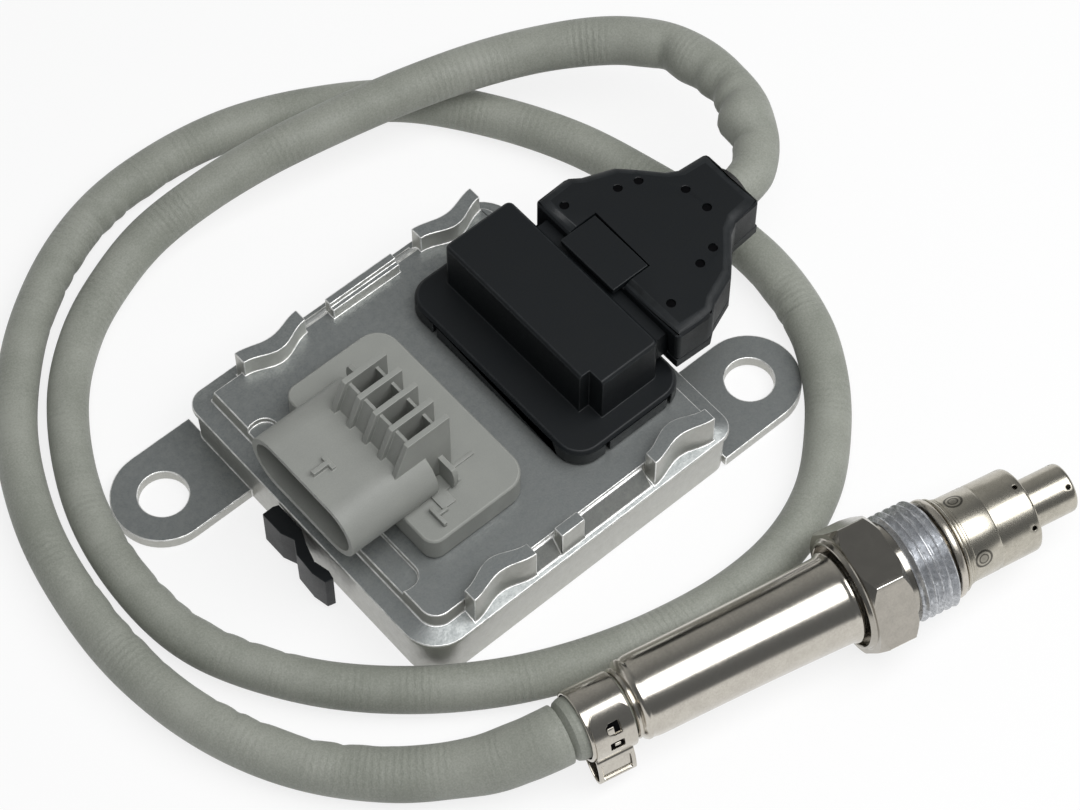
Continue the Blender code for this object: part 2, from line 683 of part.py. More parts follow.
def make_cover():
    plate = rounded_rectangle(housing_bounds, housing_radii, cavity_inset - COVER_REBATE + GAP)
    stack("base_cover", ((0, plate), (COVER_THICKNESS, plate)), zinc_steel)
    outer = rounded_rectangle(housing_bounds, housing_radii, cavity_inset + GAP)
    inner = rounded_rectangle(housing_bounds, housing_radii, cavity_inset + GAP + COVER_SEAL_WIDTH)
    prism("cover_seal", [outer, inner], "XY", COVER_THICKNESS + GAP,
          COVER_THICKNESS + GAP + COVER_SEAL_HEIGHT, dark_rubber)


def make_board():
    outline = rounded_rectangle(housing_bounds, housing_radii, cavity_inset + GAP)
    board = stack("circuit_board", ((board_bottom, outline), (board_top, outline)), board_green)
    chip_bottom = board_top + GAP
    for name, bounds in (("controller_chip", CONTROLLER_CHIP), ("driver_chip", DRIVER_CHIP)):
        left, right, front, back = bounds
        box(name, (left, front, chip_bottom), (right, back, chip_bottom + CHIP_HEIGHT), chip_black)
    for number, centre in enumerate(CAPACITOR_CENTRES, 1):
        can = disc(f"capacitor_{number}", centre, CAPACITOR_RADIUS, chip_bottom,
                   chip_bottom + CAPACITOR_HEIGHT, zinc_steel)
        can.data.set_sharp_from_angle(angle=math.radians(40))
    head_top = board_bottom - GAP
    for number, place in enumerate(screw_places, 1):
        cut(board, disc(f"board_hole_{number}", place, SCREW_RADIUS + GAP,
                        board_bottom - BOARD_THICKNESS, board_top + GAP, board_green, 16))
        turned(f"board_screw_{number}",
               ((head_top - SCREW_HEAD_HEIGHT, SCREW_HEAD_RADIUS), (head_top, SCREW_HEAD_RADIUS),
                (head_top, SCREW_RADIUS), (LEDGE_UNDERSIDE + SCREW_REACH, SCREW_RADIUS)),
               (), zinc_steel, Matrix.Translation((*place, 0)), 16)
    return board


def make_seal(name, bounds, radius, connector):
    # A rubber ring in a groove under the connector's rim, resting on the deck.
    def ring(label, spare, shade):
        outer = rounded_rectangle(grow(bounds, SEAL_OFFSET + SEAL_WIDTH + spare), [radius] * 4)
        inner = rounded_rectangle(grow(bounds, SEAL_OFFSET - spare), [radius] * 4)
        return prism(label, [outer, inner], "XY", connector_bottom - spare,
                     connector_bottom + SEAL_HEIGHT + spare, shade)
    ring(name, 0, dark_rubber)
    cut(connector, ring(name + "_groove", GAP, dark_rubber))


def bent_pin(name, y, leg, tip, axis_z, spare, shade):
    # An L of flat wire: a blade into the socket and a leg down through the circuit board.
    out = math.copysign(1, tip - leg)
    half = PIN_THICKNESS / 2 + spare
    tail = board_bottom - PIN_TAIL - spare
    outline = ((tip + out * spare, axis_z - half), (tip + out * spare, axis_z + half),
               (leg - out * spare, axis_z + half), (leg - out * spare, tail),
               (leg + out * (PIN_THICKNESS + spare), tail),
               (leg + out * (PIN_THICKNESS + spare), axis_z - half))
    return prism(name, [outline], "XZ", y - PIN_WIDTH / 2 - spare, y + PIN_WIDTH / 2 + spare, shade)


def oblong(width, height, centre_y, centre_z):
    # A rectangle with round ends, counter-clockwise from the lower right.
    radius = height / 2
    reach = width / 2 - radius
    points = []
    for end, start in ((1, -math.pi / 2), (-1, math.pi / 2)):
        for step in range(SHROUD_STEPS + 1):
            angle = start + math.pi * step / SHROUD_STEPS
            points.append((centre_y + end * reach + radius * math.cos(angle),
                           centre_z + radius * math.sin(angle)))
    return points


def make_vehicle_connector():
    radii = (PAD_LEFT_CORNER, PAD_CORNER, PAD_CORNER, PAD_LEFT_CORNER)
    connector = stack("vehicle_connector", (
        (connector_bottom, rounded_rectangle(PAD, radii)),
        (PAD_TOP - GAP, rounded_rectangle(PAD, radii)),
        (PAD_TOP, rounded_rectangle(PAD, radii, GAP))), grey_plastic)
    plug_in = rounded_rectangle(vehicle_body, [PAD_LEFT_CORNER - GAP] * 4)
    join(connector, stack("vehicle_connector_body", (
        (connector_bottom - CONNECTOR_SINK, plug_in), (connector_bottom + SEAL_HEIGHT, plug_in)),
        grey_plastic))
    shroud = oblong(SHROUD_WIDTH, SHROUD_HEIGHT, SHROUD_CENTRE_Y, SHROUD_AXIS_Z)
    join(connector, prism("shroud", [shroud], "YZ", SHROUD_MOUTH, SHROUD_BACK, grey_plastic))
    collar = oblong(SHROUD_WIDTH + 2 * SHROUD_COLLAR_REACH, SHROUD_HEIGHT + 2 * SHROUD_COLLAR_REACH,
                    SHROUD_CENTRE_Y, SHROUD_AXIS_Z)
    collar = [(y, min(max(z, PAD_TOP - GAP), SHROUD_COLLAR_TOP)) for y, z in collar]
    join(connector, prism("shroud_collar", [collar], "YZ", SHROUD_COLLAR_PLACE,
                          SHROUD_COLLAR_PLACE + SHROUD_COLLAR_THICKNESS, grey_plastic))
    ribs_front = RIB_CENTRE_Y - RIB_PITCH * (RIB_COUNT - 1) / 2
    shroud_top = SHROUD_AXIS_Z + SHROUD_HEIGHT / 2
    core_top = PAD_TOP - GAP
    rib = ((RIB_RIGHT, core_top), (RIB_RIGHT, RIB_TOP), (RIB_LEFT, RIB_TOP),
           (RIB_FOOT, shroud_top - SHROUD_WALL), (RIB_FOOT, core_top))
    for number in range(RIB_COUNT):
        middle = ribs_front + RIB_PITCH * number
        join(connector, prism(f"rib_{number + 1}", [rib], "XZ", middle - RIB_THICKNESS / 2,
                              middle + RIB_THICKNESS / 2, grey_plastic))
    slope_foot = RIB_FOOT + RIB_THICKNESS
    core = ((RIGHT_WEB + WEB_THICKNESS, core_top), (RIGHT_WEB + WEB_THICKNESS, RIGHT_WEB_TOP),
            (RIGHT_WEB, RIGHT_WEB_TOP), (RIGHT_WEB, POCKET_FLOOR),
            (LEFT_WEB + WEB_THICKNESS, POCKET_FLOOR), (LEFT_WEB + WEB_THICKNESS, LEFT_WEB_TOP),
            (LEFT_WEB, LEFT_WEB_TOP), (slope_foot, shroud_top - SHROUD_WALL), (slope_foot, core_top))
    join(connector, prism("rib_core", [core], "XZ", ribs_front,
                          ribs_front + RIB_PITCH * (RIB_COUNT - 1), grey_plastic))
    key_bottom = shroud_top - SHROUD_WALL / 2
    key_top = shroud_top + KEY_HEIGHT
    join(connector, box("key_stem", (KEY_STEM[0], KEY_CENTRE_Y - KEY_WIDTH / 2, key_bottom),
                        (KEY_STEM[1] + KEY_WIDTH / 2, KEY_CENTRE_Y + KEY_WIDTH / 2, key_top),
                        grey_plastic))
    join(connector, box("key_bar", (KEY_STEM[1], KEY_CENTRE_Y - KEY_BAR_LENGTH / 2, key_bottom),
                        (KEY_STEM[1] + KEY_WIDTH, KEY_CENTRE_Y + KEY_BAR_LENGTH / 2,
                         key_top - KEY_WIDTH / 4), grey_plastic))
    socket = oblong(SHROUD_WIDTH - 2 * SHROUD_WALL, SHROUD_HEIGHT - 2 * SHROUD_WALL,
                    SHROUD_CENTRE_Y, SHROUD_AXIS_Z)
    cut(connector, prism("socket", [socket], "YZ", SHROUD_MOUTH - SHROUD_WALL,
                         SHROUD_MOUTH + SOCKET_DEPTH, grey_plastic))
    make_seal("vehicle_connector_seal", vehicle_body, PAD_LEFT_CORNER, connector)
    return connector


def make_sensor_header():
    radii = [FLANGE_CORNER] * 4
    header = stack("sensor_header", (
        (connector_bottom, rounded_rectangle(FLANGE, radii)),
        (FLANGE_TOP - FLANGE_EDGE, rounded_rectangle(FLANGE, radii)),
        (FLANGE_TOP, rounded_rectangle(FLANGE, radii, FLANGE_EDGE))), black_plastic)
    plug_in = rounded_rectangle(sensor_body_bounds, [FLANGE_CORNER / 2 - GAP] * 4)
    join(header, stack("sensor_header_body", (
        (connector_bottom - CONNECTOR_SINK, plug_in), (connector_bottom + SEAL_HEIGHT, plug_in)),
        black_plastic))
    tower = rounded_rectangle(HEADER, [HEADER_CORNER] * 4)
    join(header, stack("header_tower", (
        (connector_bottom + SEAL_HEIGHT, tower), (HEADER_TOP - HEADER_EDGE, tower),
        (HEADER_TOP, rounded_rectangle(HEADER, [HEADER_CORNER] * 4, HEADER_EDGE))), black_plastic))
    left, right, front, _ = HEADER
    cut(header, box("tower_notch", (left - NOTCH[0], front - NOTCH[1], FLANGE_TOP),
                    (left + NOTCH[0], front + NOTCH[1], HEADER_TOP + HEADER_EDGE), black_plastic))
    flange_left, _, flange_front, _ = FLANGE
    slit_top = connector_bottom + SLIT_HEIGHT
    for number, y in enumerate(LEFT_SLITS, 1):
        cut(header, box(f"left_slit_{number}",
                        (flange_left - SLIT_WIDTH, y - SLIT_WIDTH / 2, connector_bottom - GAP),
                        (flange_left + SLIT_WIDTH, y + SLIT_WIDTH / 2, slit_top), black_plastic))
    for number, x in enumerate(FRONT_SLITS, 1):
        cut(header, box(f"front_slit_{number}",
                        (x - SLIT_WIDTH / 2, flange_front - SLIT_WIDTH, connector_bottom - GAP),
                        (x + SLIT_WIDTH / 2, flange_front + SLIT_WIDTH, slit_top), black_plastic))
    cut(header, box("mouth", (MOUTH_BACK, PLUG_CENTRE_Y - MOUTH_HALF_WIDTH, MOUTH_FLOOR),
                    (right + SLIT_WIDTH, PLUG_CENTRE_Y + MOUTH_HALF_WIDTH, MOUTH_ROOF),
                    black_plastic))
    make_seal("sensor_header_seal", sensor_body_bounds, FLANGE_CORNER / 2, header)
    return header


def make_pins(vehicle_connector, sensor_header, board):
    for number in range(PIN_COUNT):
        shape = (first_vehicle_pin + RIB_PITCH * number, PIN_LEG, PIN_TIP, SHROUD_AXIS_Z)
        bent_pin(f"vehicle_pin_{number + 1}", *shape, 0, plated_copper)
        channel = bent_pin(f"vehicle_channel_{number + 1}", *shape, GAP, plated_copper)
        cut(vehicle_connector, channel)
        cut(board, channel)
    for number in range(SENSOR_PIN_COUNT):
        shape = (first_sensor_pin + SENSOR_PIN_PITCH * number, SENSOR_PIN_LEG, SENSOR_PIN_TIP,
                 SENSOR_PIN_AXIS_Z)
        bent_pin(f"sensor_pin_{number + 1}", *shape, 0, plated_copper)
        channel = bent_pin(f"sensor_channel_{number + 1}", *shape, GAP, plated_copper)
        cut(sensor_header, channel)
        cut(board, channel)


def plug_outline(inset, end_inset):
    # One side of the plug from its front to its neck, and the other side back again.
    stations = list(zip(PLUG_STATIONS, PLUG_HALF_WIDTHS))
    side = []
    for place, half in stations:
        x = PLUG_FRONT + min(max(place, end_inset), PLUG_STATIONS[-1] - end_inset)
        side.append((x, half - inset))
    return ([(x, PLUG_CENTRE_Y - half) for x, half in side]
            + [(x, PLUG_CENTRE_Y + half) for x, half in reversed(side)])


def carrier_bounds(spare):
    return ((CARRIER_FRONT, PLUG_CENTRE_Y - MOUTH_HALF_WIDTH + GAP - spare, MOUTH_FLOOR + GAP - spare),
            (CARRIER_BACK + spare, PLUG_CENTRE_Y + MOUTH_HALF_WIDTH - GAP + spare,
             MOUTH_ROOF - GAP + spare))


def make_plug():
    lower = stack("plug_lower_shell", (
        (PLUG_BOTTOM, plug_outline(PLUG_EDGE, PLUG_EDGE)),
        (PLUG_BOTTOM + PLUG_EDGE, plug_outline(0, 0)),
        (PLUG_SEAM - GAP, plug_outline(0, 0))), black_plastic)
    upper = stack("plug_upper_shell", (
        (PLUG_SEAM, plug_outline(0, 0)),
        (PLUG_TOP - PLUG_EDGE, plug_outline(0, 0)),
        (PLUG_TOP, plug_outline(PLUG_EDGE, PLUG_EDGE))), black_plastic)
    room = stack("plug_room", (
        (PLUG_BOTTOM + PLUG_WALL, plug_outline(PLUG_WALL, PLUG_WALL)),
        (PLUG_TOP - PLUG_WALL, plug_outline(PLUG_WALL, PLUG_WALL))), black_plastic)
    opening = box("plug_opening", *carrier_bounds(GAP), black_plastic)
    neck = turned("plug_neck", ((PLUG_BACK - PLUG_NECK, GROMMET_RADIUS + GAP),
                                (PLUG_BACK + PLUG_NECK, GROMMET_RADIUS + GAP)),
                  (), black_plastic, along_x(Vector((0, PLUG_CENTRE_Y, cable_axis_z))), 32)
    for shell in (lower, upper):
        cut(shell, room)
        cut(shell, opening)
        cut(shell, neck)
    latch_back = LATCH_CENTRE_Y + LATCH_WIDTH / 2
    latch_front = LATCH_CENTRE_Y - LATCH_WIDTH / 2
    latch_bottom = PLUG_TOP - LATCH_THICKNESS
    seat = (latch_bottom - GAP, PLUG_TOP + GAP)
    cut(upper, box("latch_seat", (PLUG_FRONT - LATCH_TONGUE, latch_front - GAP, seat[0]),
                   (PLUG_FRONT + LATCH_LENGTH + GAP, latch_back + GAP, seat[1]), black_plastic))
    box("plug_latch", (PLUG_FRONT - LATCH_TONGUE + GAP, latch_front, latch_bottom),
        (PLUG_FRONT + LATCH_LENGTH, latch_back, PLUG_TOP), black_plastic)
    for number, (x, y) in enumerate(DIMPLES, 1):
        cut(upper, disc(f"dimple_{number}", (x, y), DIMPLE_RADIUS, PLUG_TOP - DIMPLE_DEPTH,
                        PLUG_TOP + DIMPLE_DEPTH, black_plastic, 12))
    make_carrier_and_leads()


def make_carrier_and_leads():
    carrier = box("terminal_carrier", *carrier_bounds(0), black_plastic)
    grommet_rear = PLUG_BACK - PLUG_NECK + GAP
    grommet_front = PLUG_BACK + GROMMET_PROUD
    turned("cable_grommet", ((grommet_rear, GROMMET_RADIUS), (grommet_front, GROMMET_RADIUS)),
           ((grommet_rear, bundle_radius), (grommet_front, bundle_radius)), dark_rubber,
           along_x(Vector((0, PLUG_CENTRE_Y, cable_axis_z))), 32)
    for number in range(SENSOR_PIN_COUNT):
        y = first_sensor_pin + SENSOR_PIN_PITCH * number
        bore = turned(f"contact_bore_{number + 1}",
                      ((CARRIER_FRONT - PLUG_WALL, CONTACT_BORE), (CARRIER_BACK + PLUG_WALL, CONTACT_BORE)),
                      (), black_plastic, along_x(Vector((0, y, SENSOR_PIN_AXIS_Z))), 16)
        cut(carrier, bore)
        # The leads gather into a ring, which they join from its lower front round to its lower back.
        angle = math.tau * (number + 0.5) / SENSOR_PIN_COUNT
        end = Vector((0, PLUG_CENTRE_Y - LEAD_RING * math.sin(angle),
                      cable_axis_z - LEAD_RING * math.cos(angle)))
        route = (Vector((SENSOR_PIN_TIP + PLUG_WALL, y, SENSOR_PIN_AXIS_Z)),
                 Vector((CARRIER_BACK, y, SENSOR_PIN_AXIS_Z)),
                 Vector((CARRIER_BACK + PLUG_NECK / 2, y, SENSOR_PIN_AXIS_Z)),
                 Vector((grommet_rear - PLUG_NECK / 2, end.y, end.z)),
                 Vector((grommet_rear, end.y, end.z)),
                 Vector((grommet_front - GAP, end.y, end.z)))
        tube(f"plug_lead_{number + 1}", smooth_route(list(route), 12), LEAD_RADIUS, lead_skin, 1)


def make_clip():
    wall_x = -half_length + LIP_OVERHANG - GAP
    outline = [(wall_x - out, y) for out, y in CLIP_OUTLINE]
    prism("side_clip", [outline], "XY", CLIP_BOTTOM, CLIP_TOP, black_plastic)


def make_cable():
    # Its first and last few millimetres run straight out of the plug and into the probe.
    leaving = cable_start + Vector((CABLE_STRAIGHT, 0, 0))
    arriving = probe_point(BOOT_REAR - GAP - CABLE_STRAIGHT)
    route = [leaving, *(Vector(point) for point in CABLE_ROUTE), arriving]
    points = [cable_start, *smooth_route(route, CABLE_POINTS), probe_point(BOOT_REAR - GAP)]
    tube("cable", points, CABLE_RADIUS, grey_sleeve)


def tube_radius(along):
    return TUBE_REAR_RADIUS + (TUBE_FRONT_RADIUS - TUBE_REAR_RADIUS) * along / TUBE_FRONT


def make_rear_tube():
    bead = BEAD_LENGTH
    outer = ((NECK_REAR, NECK_RADIUS), (-bead, NECK_RADIUS), (0, TUBE_REAR_RADIUS - bead),
             (bead, TUBE_REAR_RADIUS + BEAD_RISE), (2 * bead, TUBE_REAR_RADIUS + BEAD_RISE),
             (3 * bead, TUBE_REAR_RADIUS - GROOVE_DEPTH), (4 * bead, tube_radius(4 * bead)),
             (TUBE_FRONT, TUBE_FRONT_RADIUS))
    inner = ((NECK_REAR, NECK_RADIUS - TUBE_WALL), (0, NECK_RADIUS - TUBE_WALL),
             (bead, tube_inside_rear), (4 * bead, tube_inside_rear),
             (TUBE_FRONT, TUBE_FRONT_RADIUS - TUBE_WALL))
    turned("rear_tube", outer, inner, stainless)
    boot_front = -bead - GAP
    turned("sleeve_boot",
           ((BOOT_REAR, CABLE_RADIUS + GAP), (BOOT_REAR + bead, boot_outer - GAP),
            (BOOT_REAR + 2 * bead, boot_outer), (boot_front, boot_outer)),
           ((BOOT_REAR, BOOT_MOUTH), (NECK_REAR - GAP, BOOT_MOUTH),
            (NECK_REAR - GAP, NECK_RADIUS + GAP), (boot_front, NECK_RADIUS + GAP)), grey_sleeve)
    clamp = turned("ear_clamp",
                   ((BAND_REAR, band_inner + BAND_THICKNESS), (BAND_FRONT, band_inner + BAND_THICKNESS)),
                   ((BAND_REAR, band_inner), (BAND_FRONT, band_inner)), stainless)
    ear_middle = (BAND_REAR + BAND_FRONT) / 2
    ear_inner = band_inner + BAND_THICKNESS / 2
    ear = box("clamp_ear", (-ear_inner - CLAMP_EAR_REACH, -CLAMP_EAR_THICKNESS / 2,
                            ear_middle - CLAMP_EAR_LENGTH / 2),
              (-ear_inner, CLAMP_EAR_THICKNESS / 2, ear_middle + CLAMP_EAR_LENGTH / 2), stainless)
    ear.matrix_world = probe_frame @ Matrix.Rotation(CLAMP_EAR_TURN, 4, "Z")
    join(clamp, ear)


def make_fitting():
    corner = HEX_ACROSS_FLATS / 2 / math.cos(math.pi / 6)
    body_radius = TUBE_FRONT_RADIUS
    bore = body_radius + FITTING_CLEARANCE
    outer = ((FITTING_COLLAR_REAR, FITTING_COLLAR_RADIUS), (HEX_REAR + GAP, FITTING_COLLAR_RADIUS),
             (HEX_REAR + GAP, RELIEF_RADIUS), (THREAD_REAR, RELIEF_RADIUS),
             (THREAD_REAR, THREAD_RADIUS), (THREAD_FRONT, THREAD_RADIUS))
    fitting = turned("hex_fitting", outer, (), satin_stainless)
    work = bmesh.new()
    bmesh.ops.create_cone(work, cap_ends=True, segments=6, radius1=corner, radius2=corner,
                          depth=HEX_FRONT - HEX_REAR,
                          matrix=Matrix.Translation((0, 0, (HEX_FRONT + HEX_REAR) / 2)))
    hexagon = finish_mesh("hexagon", work, satin_stainless)
    hexagon.matrix_world = probe_frame
    chamfers = turned("hexagon_chamfers",
                      ((HEX_REAR - GAP, corner - HEX_CHAMFER - GAP), (HEX_REAR + HEX_CHAMFER, corner),
                       (HEX_FRONT - HEX_CHAMFER, corner), (HEX_FRONT + GAP, corner - HEX_CHAMFER - GAP)),
                      (), satin_stainless, sides=72)
    boolean(hexagon, chamfers, "INTERSECT")
    join(fitting, hexagon)
    recess_front = FITTING_COLLAR_REAR + FITTING_RECESS_DEPTH
    bored = turned("fitting_bore",
                   ((FITTING_COLLAR_REAR - GAP, FITTING_RECESS_RADIUS), (recess_front, FITTING_RECESS_RADIUS),
                    (recess_front, bore), (THREAD_FRONT + GAP, bore)), (), satin_stainless)
    cut(fitting, bored)


def slot(name, rear, front):
    across = ELEMENT_WIDTH / 2 + GAP
    deep = ELEMENT_THICKNESS / 2 + GAP
    cutter = box(name, (-deep, -across, rear - GAP), (deep, across, front + GAP), ceramic)
    cutter.matrix_world = probe_frame
    return make_cutter(cutter)


def make_probe_core():
    body_radius = TUBE_FRONT_RADIUS
    inside_tube = TUBE_FRONT_RADIUS - TUBE_WALL - GAP - GAP
    shoulder = TUBE_FRONT + GAP
    turned("sensor_body",
           ((BODY_REAR, inside_tube), (shoulder, inside_tube), (shoulder, body_radius),
            (THREAD_FRONT, body_radius), (THREAD_FRONT, spigot_radius),
            (spigot_front, spigot_radius),
            (spigot_front, SPIGOT_RADIUS), (BODY_FRONT, SPIGOT_RADIUS)),
           ((BODY_REAR, BODY_BORE), (BODY_BORE_FRONT, BODY_BORE),
            (BODY_BORE_FRONT, BODY_NOSE_BORE), (BODY_FRONT, BODY_NOSE_BORE)), stainless)
    turned("gasket_ring", ((gasket_rear, GASKET_RADIUS), (gasket_front, GASKET_RADIUS)),
           ((gasket_rear, spigot_radius + GAP), (gasket_front, spigot_radius + GAP)), satin_stainless)
    bush_radius = BODY_BORE - GAP
    rear = BODY_REAR + 4 * GAP
    for name, length, shade in (("ceramic_bush_rear", BUSH_LENGTH, ceramic),
                                ("talc_seal", TALC_LENGTH, talc),
                                ("ceramic_bush_front", None, ceramic)):
        front = BODY_BORE_FRONT - GAP if length is None else rear + length
        bush = turned(name, ((rear, bush_radius), (front, bush_radius)), (), shade, sides=24)
        cut(bush, slot(name + "_slot", rear, front))
        rear = front + GAP
    element = box("sensing_element", (-ELEMENT_THICKNESS / 2, -ELEMENT_WIDTH / 2, ELEMENT_REAR),
                  (ELEMENT_THICKNESS / 2, ELEMENT_WIDTH / 2, ELEMENT_FRONT), ceramic)
    element.matrix_world = probe_frame
    insulator = turned("contact_insulator",
                       ((INSULATOR_REAR, tube_inside_rear - GAP),
                        (INSULATOR_SHOULDER, tube_inside_rear - GAP),
                        (INSULATOR_SHOULDER, INSULATOR_NOSE),
                        (BODY_REAR + 3 * GAP, INSULATOR_NOSE)), (), ceramic, sides=24)
    cut(insulator, slot("insulator_slot", ELEMENT_REAR, BODY_REAR + 3 * GAP))
    grommet_rear = NECK_REAR + GAP
    grommet_radius = NECK_RADIUS - TUBE_WALL - GAP
    grommet = turned("rear_grommet", ((grommet_rear, grommet_radius), (-GAP, grommet_radius)), (),
                     dark_rubber, sides=24)
    lead_rear = BOOT_REAR + GAP
    insulator_hole_end = INSULATOR_REAR + INSULATOR_LEAD_DEPTH
    hole_radius = LEAD_RADIUS + LEAD_CLEARANCE
    for number in range(SENSOR_PIN_COUNT):
        angle = math.tau * number / SENSOR_PIN_COUNT
        at_grommet = [probe_point(place, PROBE_LEAD_RING, angle)
                      for place in (lead_rear, NECK_REAR, -GAP)]
        at_insulator = [probe_point(place, INSULATOR_LEAD_RING, angle)
                        for place in (INSULATOR_REAR, (INSULATOR_REAR + insulator_hole_end) / 2,
                                      insulator_hole_end - GAP)]
        tube(f"probe_lead_{number + 1}", smooth_route(at_grommet + at_insulator, 14),
             LEAD_RADIUS, lead_skin, 1)
        cut(grommet, lead_hole(f"grommet_hole_{number + 1}", PROBE_LEAD_RING, angle,
                               NECK_REAR, GAP, hole_radius))
        cut(insulator, lead_hole(f"insulator_hole_{number + 1}", INSULATOR_LEAD_RING, angle,
                                 INSULATOR_REAR - GAP, insulator_hole_end, hole_radius))


def lead_hole(name, ring, angle, rear, front, radius):
    hole = disc(name, (ring * math.cos(angle), ring * math.sin(angle)), radius, rear, front,
                dark_rubber, 8)
    hole.matrix_world = probe_frame
    return make_cutter(hole)


def gas_hole(name, along, reach, angle):
    hole = disc(name, (0, 0), GAS_HOLE_RADIUS, 0, reach, stainless, 12)
    hole.matrix_world = (probe_frame @ Matrix.Translation((0, 0, along))
                         @ Matrix.Rotation(angle, 4, "Z") @ Matrix.Rotation(math.pi / 2, 4, "Y"))
    return make_cutter(hole)


def make_protection_tubes():
    flange_front = outer_tube_rear + PROTECTION_WALL
    wall = PROTECTION_WALL
    outer = turned("outer_protection_tube",
                   ((outer_tube_rear, OUTER_TUBE_RADIUS + wall), (flange_front, OUTER_TUBE_RADIUS + wall),
                    (flange_front, OUTER_TUBE_RADIUS), (OUTER_TUBE_END - OUTER_TUBE_EDGE, OUTER_TUBE_RADIUS),
                    (OUTER_TUBE_END, OUTER_TUBE_RADIUS - OUTER_TUBE_EDGE), (OUTER_TUBE_END, NOZZLE_RADIUS),
                    (NOZZLE_END, NOZZLE_RADIUS)),
                   ((outer_tube_rear, OUTER_TUBE_RADIUS - wall),
                    (OUTER_TUBE_END - wall, OUTER_TUBE_RADIUS - wall),
                    (OUTER_TUBE_END - wall, NOZZLE_RADIUS - wall),
                    (NOZZLE_END - wall, NOZZLE_RADIUS - wall),
                    (NOZZLE_END - wall, GAS_HOLE_RADIUS), (NOZZLE_END, GAS_HOLE_RADIUS)),
                   satin_stainless)
    inner_radius = SPIGOT_RADIUS + GAP + wall
    inner_rear = spigot_front + GAP
    inner = turned("inner_protection_tube",
                   ((inner_rear, inner_radius), (INNER_TUBE_END, inner_radius),
                    (INNER_NOSE_START, INNER_NOSE_RADIUS), (INNER_NOSE_END, INNER_NOSE_RADIUS)),
                   ((inner_rear, inner_radius - wall), (INNER_TUBE_END - wall / 2, inner_radius - wall),
                    (INNER_NOSE_START - wall / 2, INNER_NOSE_RADIUS - wall),
                    (INNER_NOSE_END - wall, INNER_NOSE_RADIUS - wall),
                    (INNER_NOSE_END - wall, GAS_HOLE_RADIUS), (INNER_NOSE_END, GAS_HOLE_RADIUS)),
                   satin_stainless, sides=24)
    outer_hole_place = OUTER_TUBE_END - OUTER_HOLE_SETBACK
    nozzle_hole_place = NOZZLE_END - NOZZLE_HOLE_SETBACK
    inner_hole_place = BODY_FRONT + INNER_HOLE_REACH
    for number in range(OUTER_HOLE_COUNT):
        turn = OUTER_HOLE_TURN + math.tau * number / OUTER_HOLE_COUNT
        cut(outer, gas_hole(f"outer_gas_hole_{number + 1}", outer_hole_place,
                            OUTER_TUBE_RADIUS + wall, turn))
    for number in range(NOZZLE_HOLE_COUNT):
        turn = NOZZLE_HOLE_TURN + math.tau * number / NOZZLE_HOLE_COUNT
        cut(outer, gas_hole(f"nozzle_gas_hole_{number + 1}", nozzle_hole_place,
                            NOZZLE_RADIUS + wall, turn))
        cut(inner, gas_hole(f"inner_gas_hole_{number + 1}", inner_hole_place,
                            inner_radius + wall, turn))


make_housing()
make_cover()
board = make_board()
vehicle_connector = make_vehicle_connector()
sensor_header = make_sensor_header()
make_pins(vehicle_connector, sensor_header, board)
make_plug()
make_clip()
make_cable()
make_rear_tube()
make_fitting()
make_probe_core()
make_protection_tubes()
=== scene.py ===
from math import atan2, cos, degrees, exp, hypot, pi, radians, sin, sqrt

import bmesh
import bpy
from mathutils import Matrix, Vector, noise


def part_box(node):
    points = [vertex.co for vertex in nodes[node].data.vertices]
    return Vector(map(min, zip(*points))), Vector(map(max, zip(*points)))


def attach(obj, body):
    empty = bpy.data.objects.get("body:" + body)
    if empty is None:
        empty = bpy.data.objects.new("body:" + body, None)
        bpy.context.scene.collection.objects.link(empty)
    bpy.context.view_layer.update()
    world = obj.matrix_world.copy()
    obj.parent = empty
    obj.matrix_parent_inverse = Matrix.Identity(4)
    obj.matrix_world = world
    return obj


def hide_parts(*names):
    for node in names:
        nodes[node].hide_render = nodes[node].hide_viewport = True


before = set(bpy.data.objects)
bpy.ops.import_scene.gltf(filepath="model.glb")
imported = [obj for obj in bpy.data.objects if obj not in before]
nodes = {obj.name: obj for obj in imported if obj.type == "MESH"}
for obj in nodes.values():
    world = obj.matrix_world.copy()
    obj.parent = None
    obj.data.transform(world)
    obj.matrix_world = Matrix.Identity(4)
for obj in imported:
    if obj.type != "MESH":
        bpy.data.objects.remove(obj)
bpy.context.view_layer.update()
up = Vector((0, 0, 1))

# Sizes are in metres. The probe's profiles, its clamp and the pad's outlines are in millimetres.
photoView = {
    "place": (-0.1823, -0.2296, 0.4947),
    "target": (0.01665, -0.00208, 0.0),
    "roll": radians(0.27),
    "lens": 108.35,
    "sensor": 36,
    "nearest": 0.01,
}


def addObject(name, data):
    made = bpy.data.objects.new(name, data)
    bpy.context.scene.collection.objects.link(made)
    return made


def axesAs(right, above, outward):
    # The turn that takes X, Y and Z to these directions.
    return Matrix((right, above, outward)).transposed().to_4x4()


def makeCamera(look):
    data = bpy.data.cameras.new("photoCamera")
    data.sensor_fit = "HORIZONTAL"
    data.sensor_width = look["sensor"]
    data.lens = look["lens"]
    data.clip_start = look["nearest"]
    place = Vector(look["place"])
    forward = (Vector(look["target"]) - place).normalized()
    right = forward.cross(up).normalized()
    above = right.cross(forward)
    leanRight = right * cos(look["roll"]) + above * sin(look["roll"])
    leanUp = above * cos(look["roll"]) - right * sin(look["roll"])
    camera = addObject("photoCamera", data)
    camera.matrix_world = Matrix.Translation(place) @ axesAs(leanRight, leanUp, -forward)
    bpy.context.scene.camera = camera


makeCamera(photoView)
print("camera ready")


def addNode(tree, kind, values=None, **settings):
    made = tree.nodes.new("ShaderNode" + kind)
    for name, value in settings.items():
        setattr(made, name, value)
    for name, value in (values or {}).items():
        made.inputs[name].default_value = value
    return made


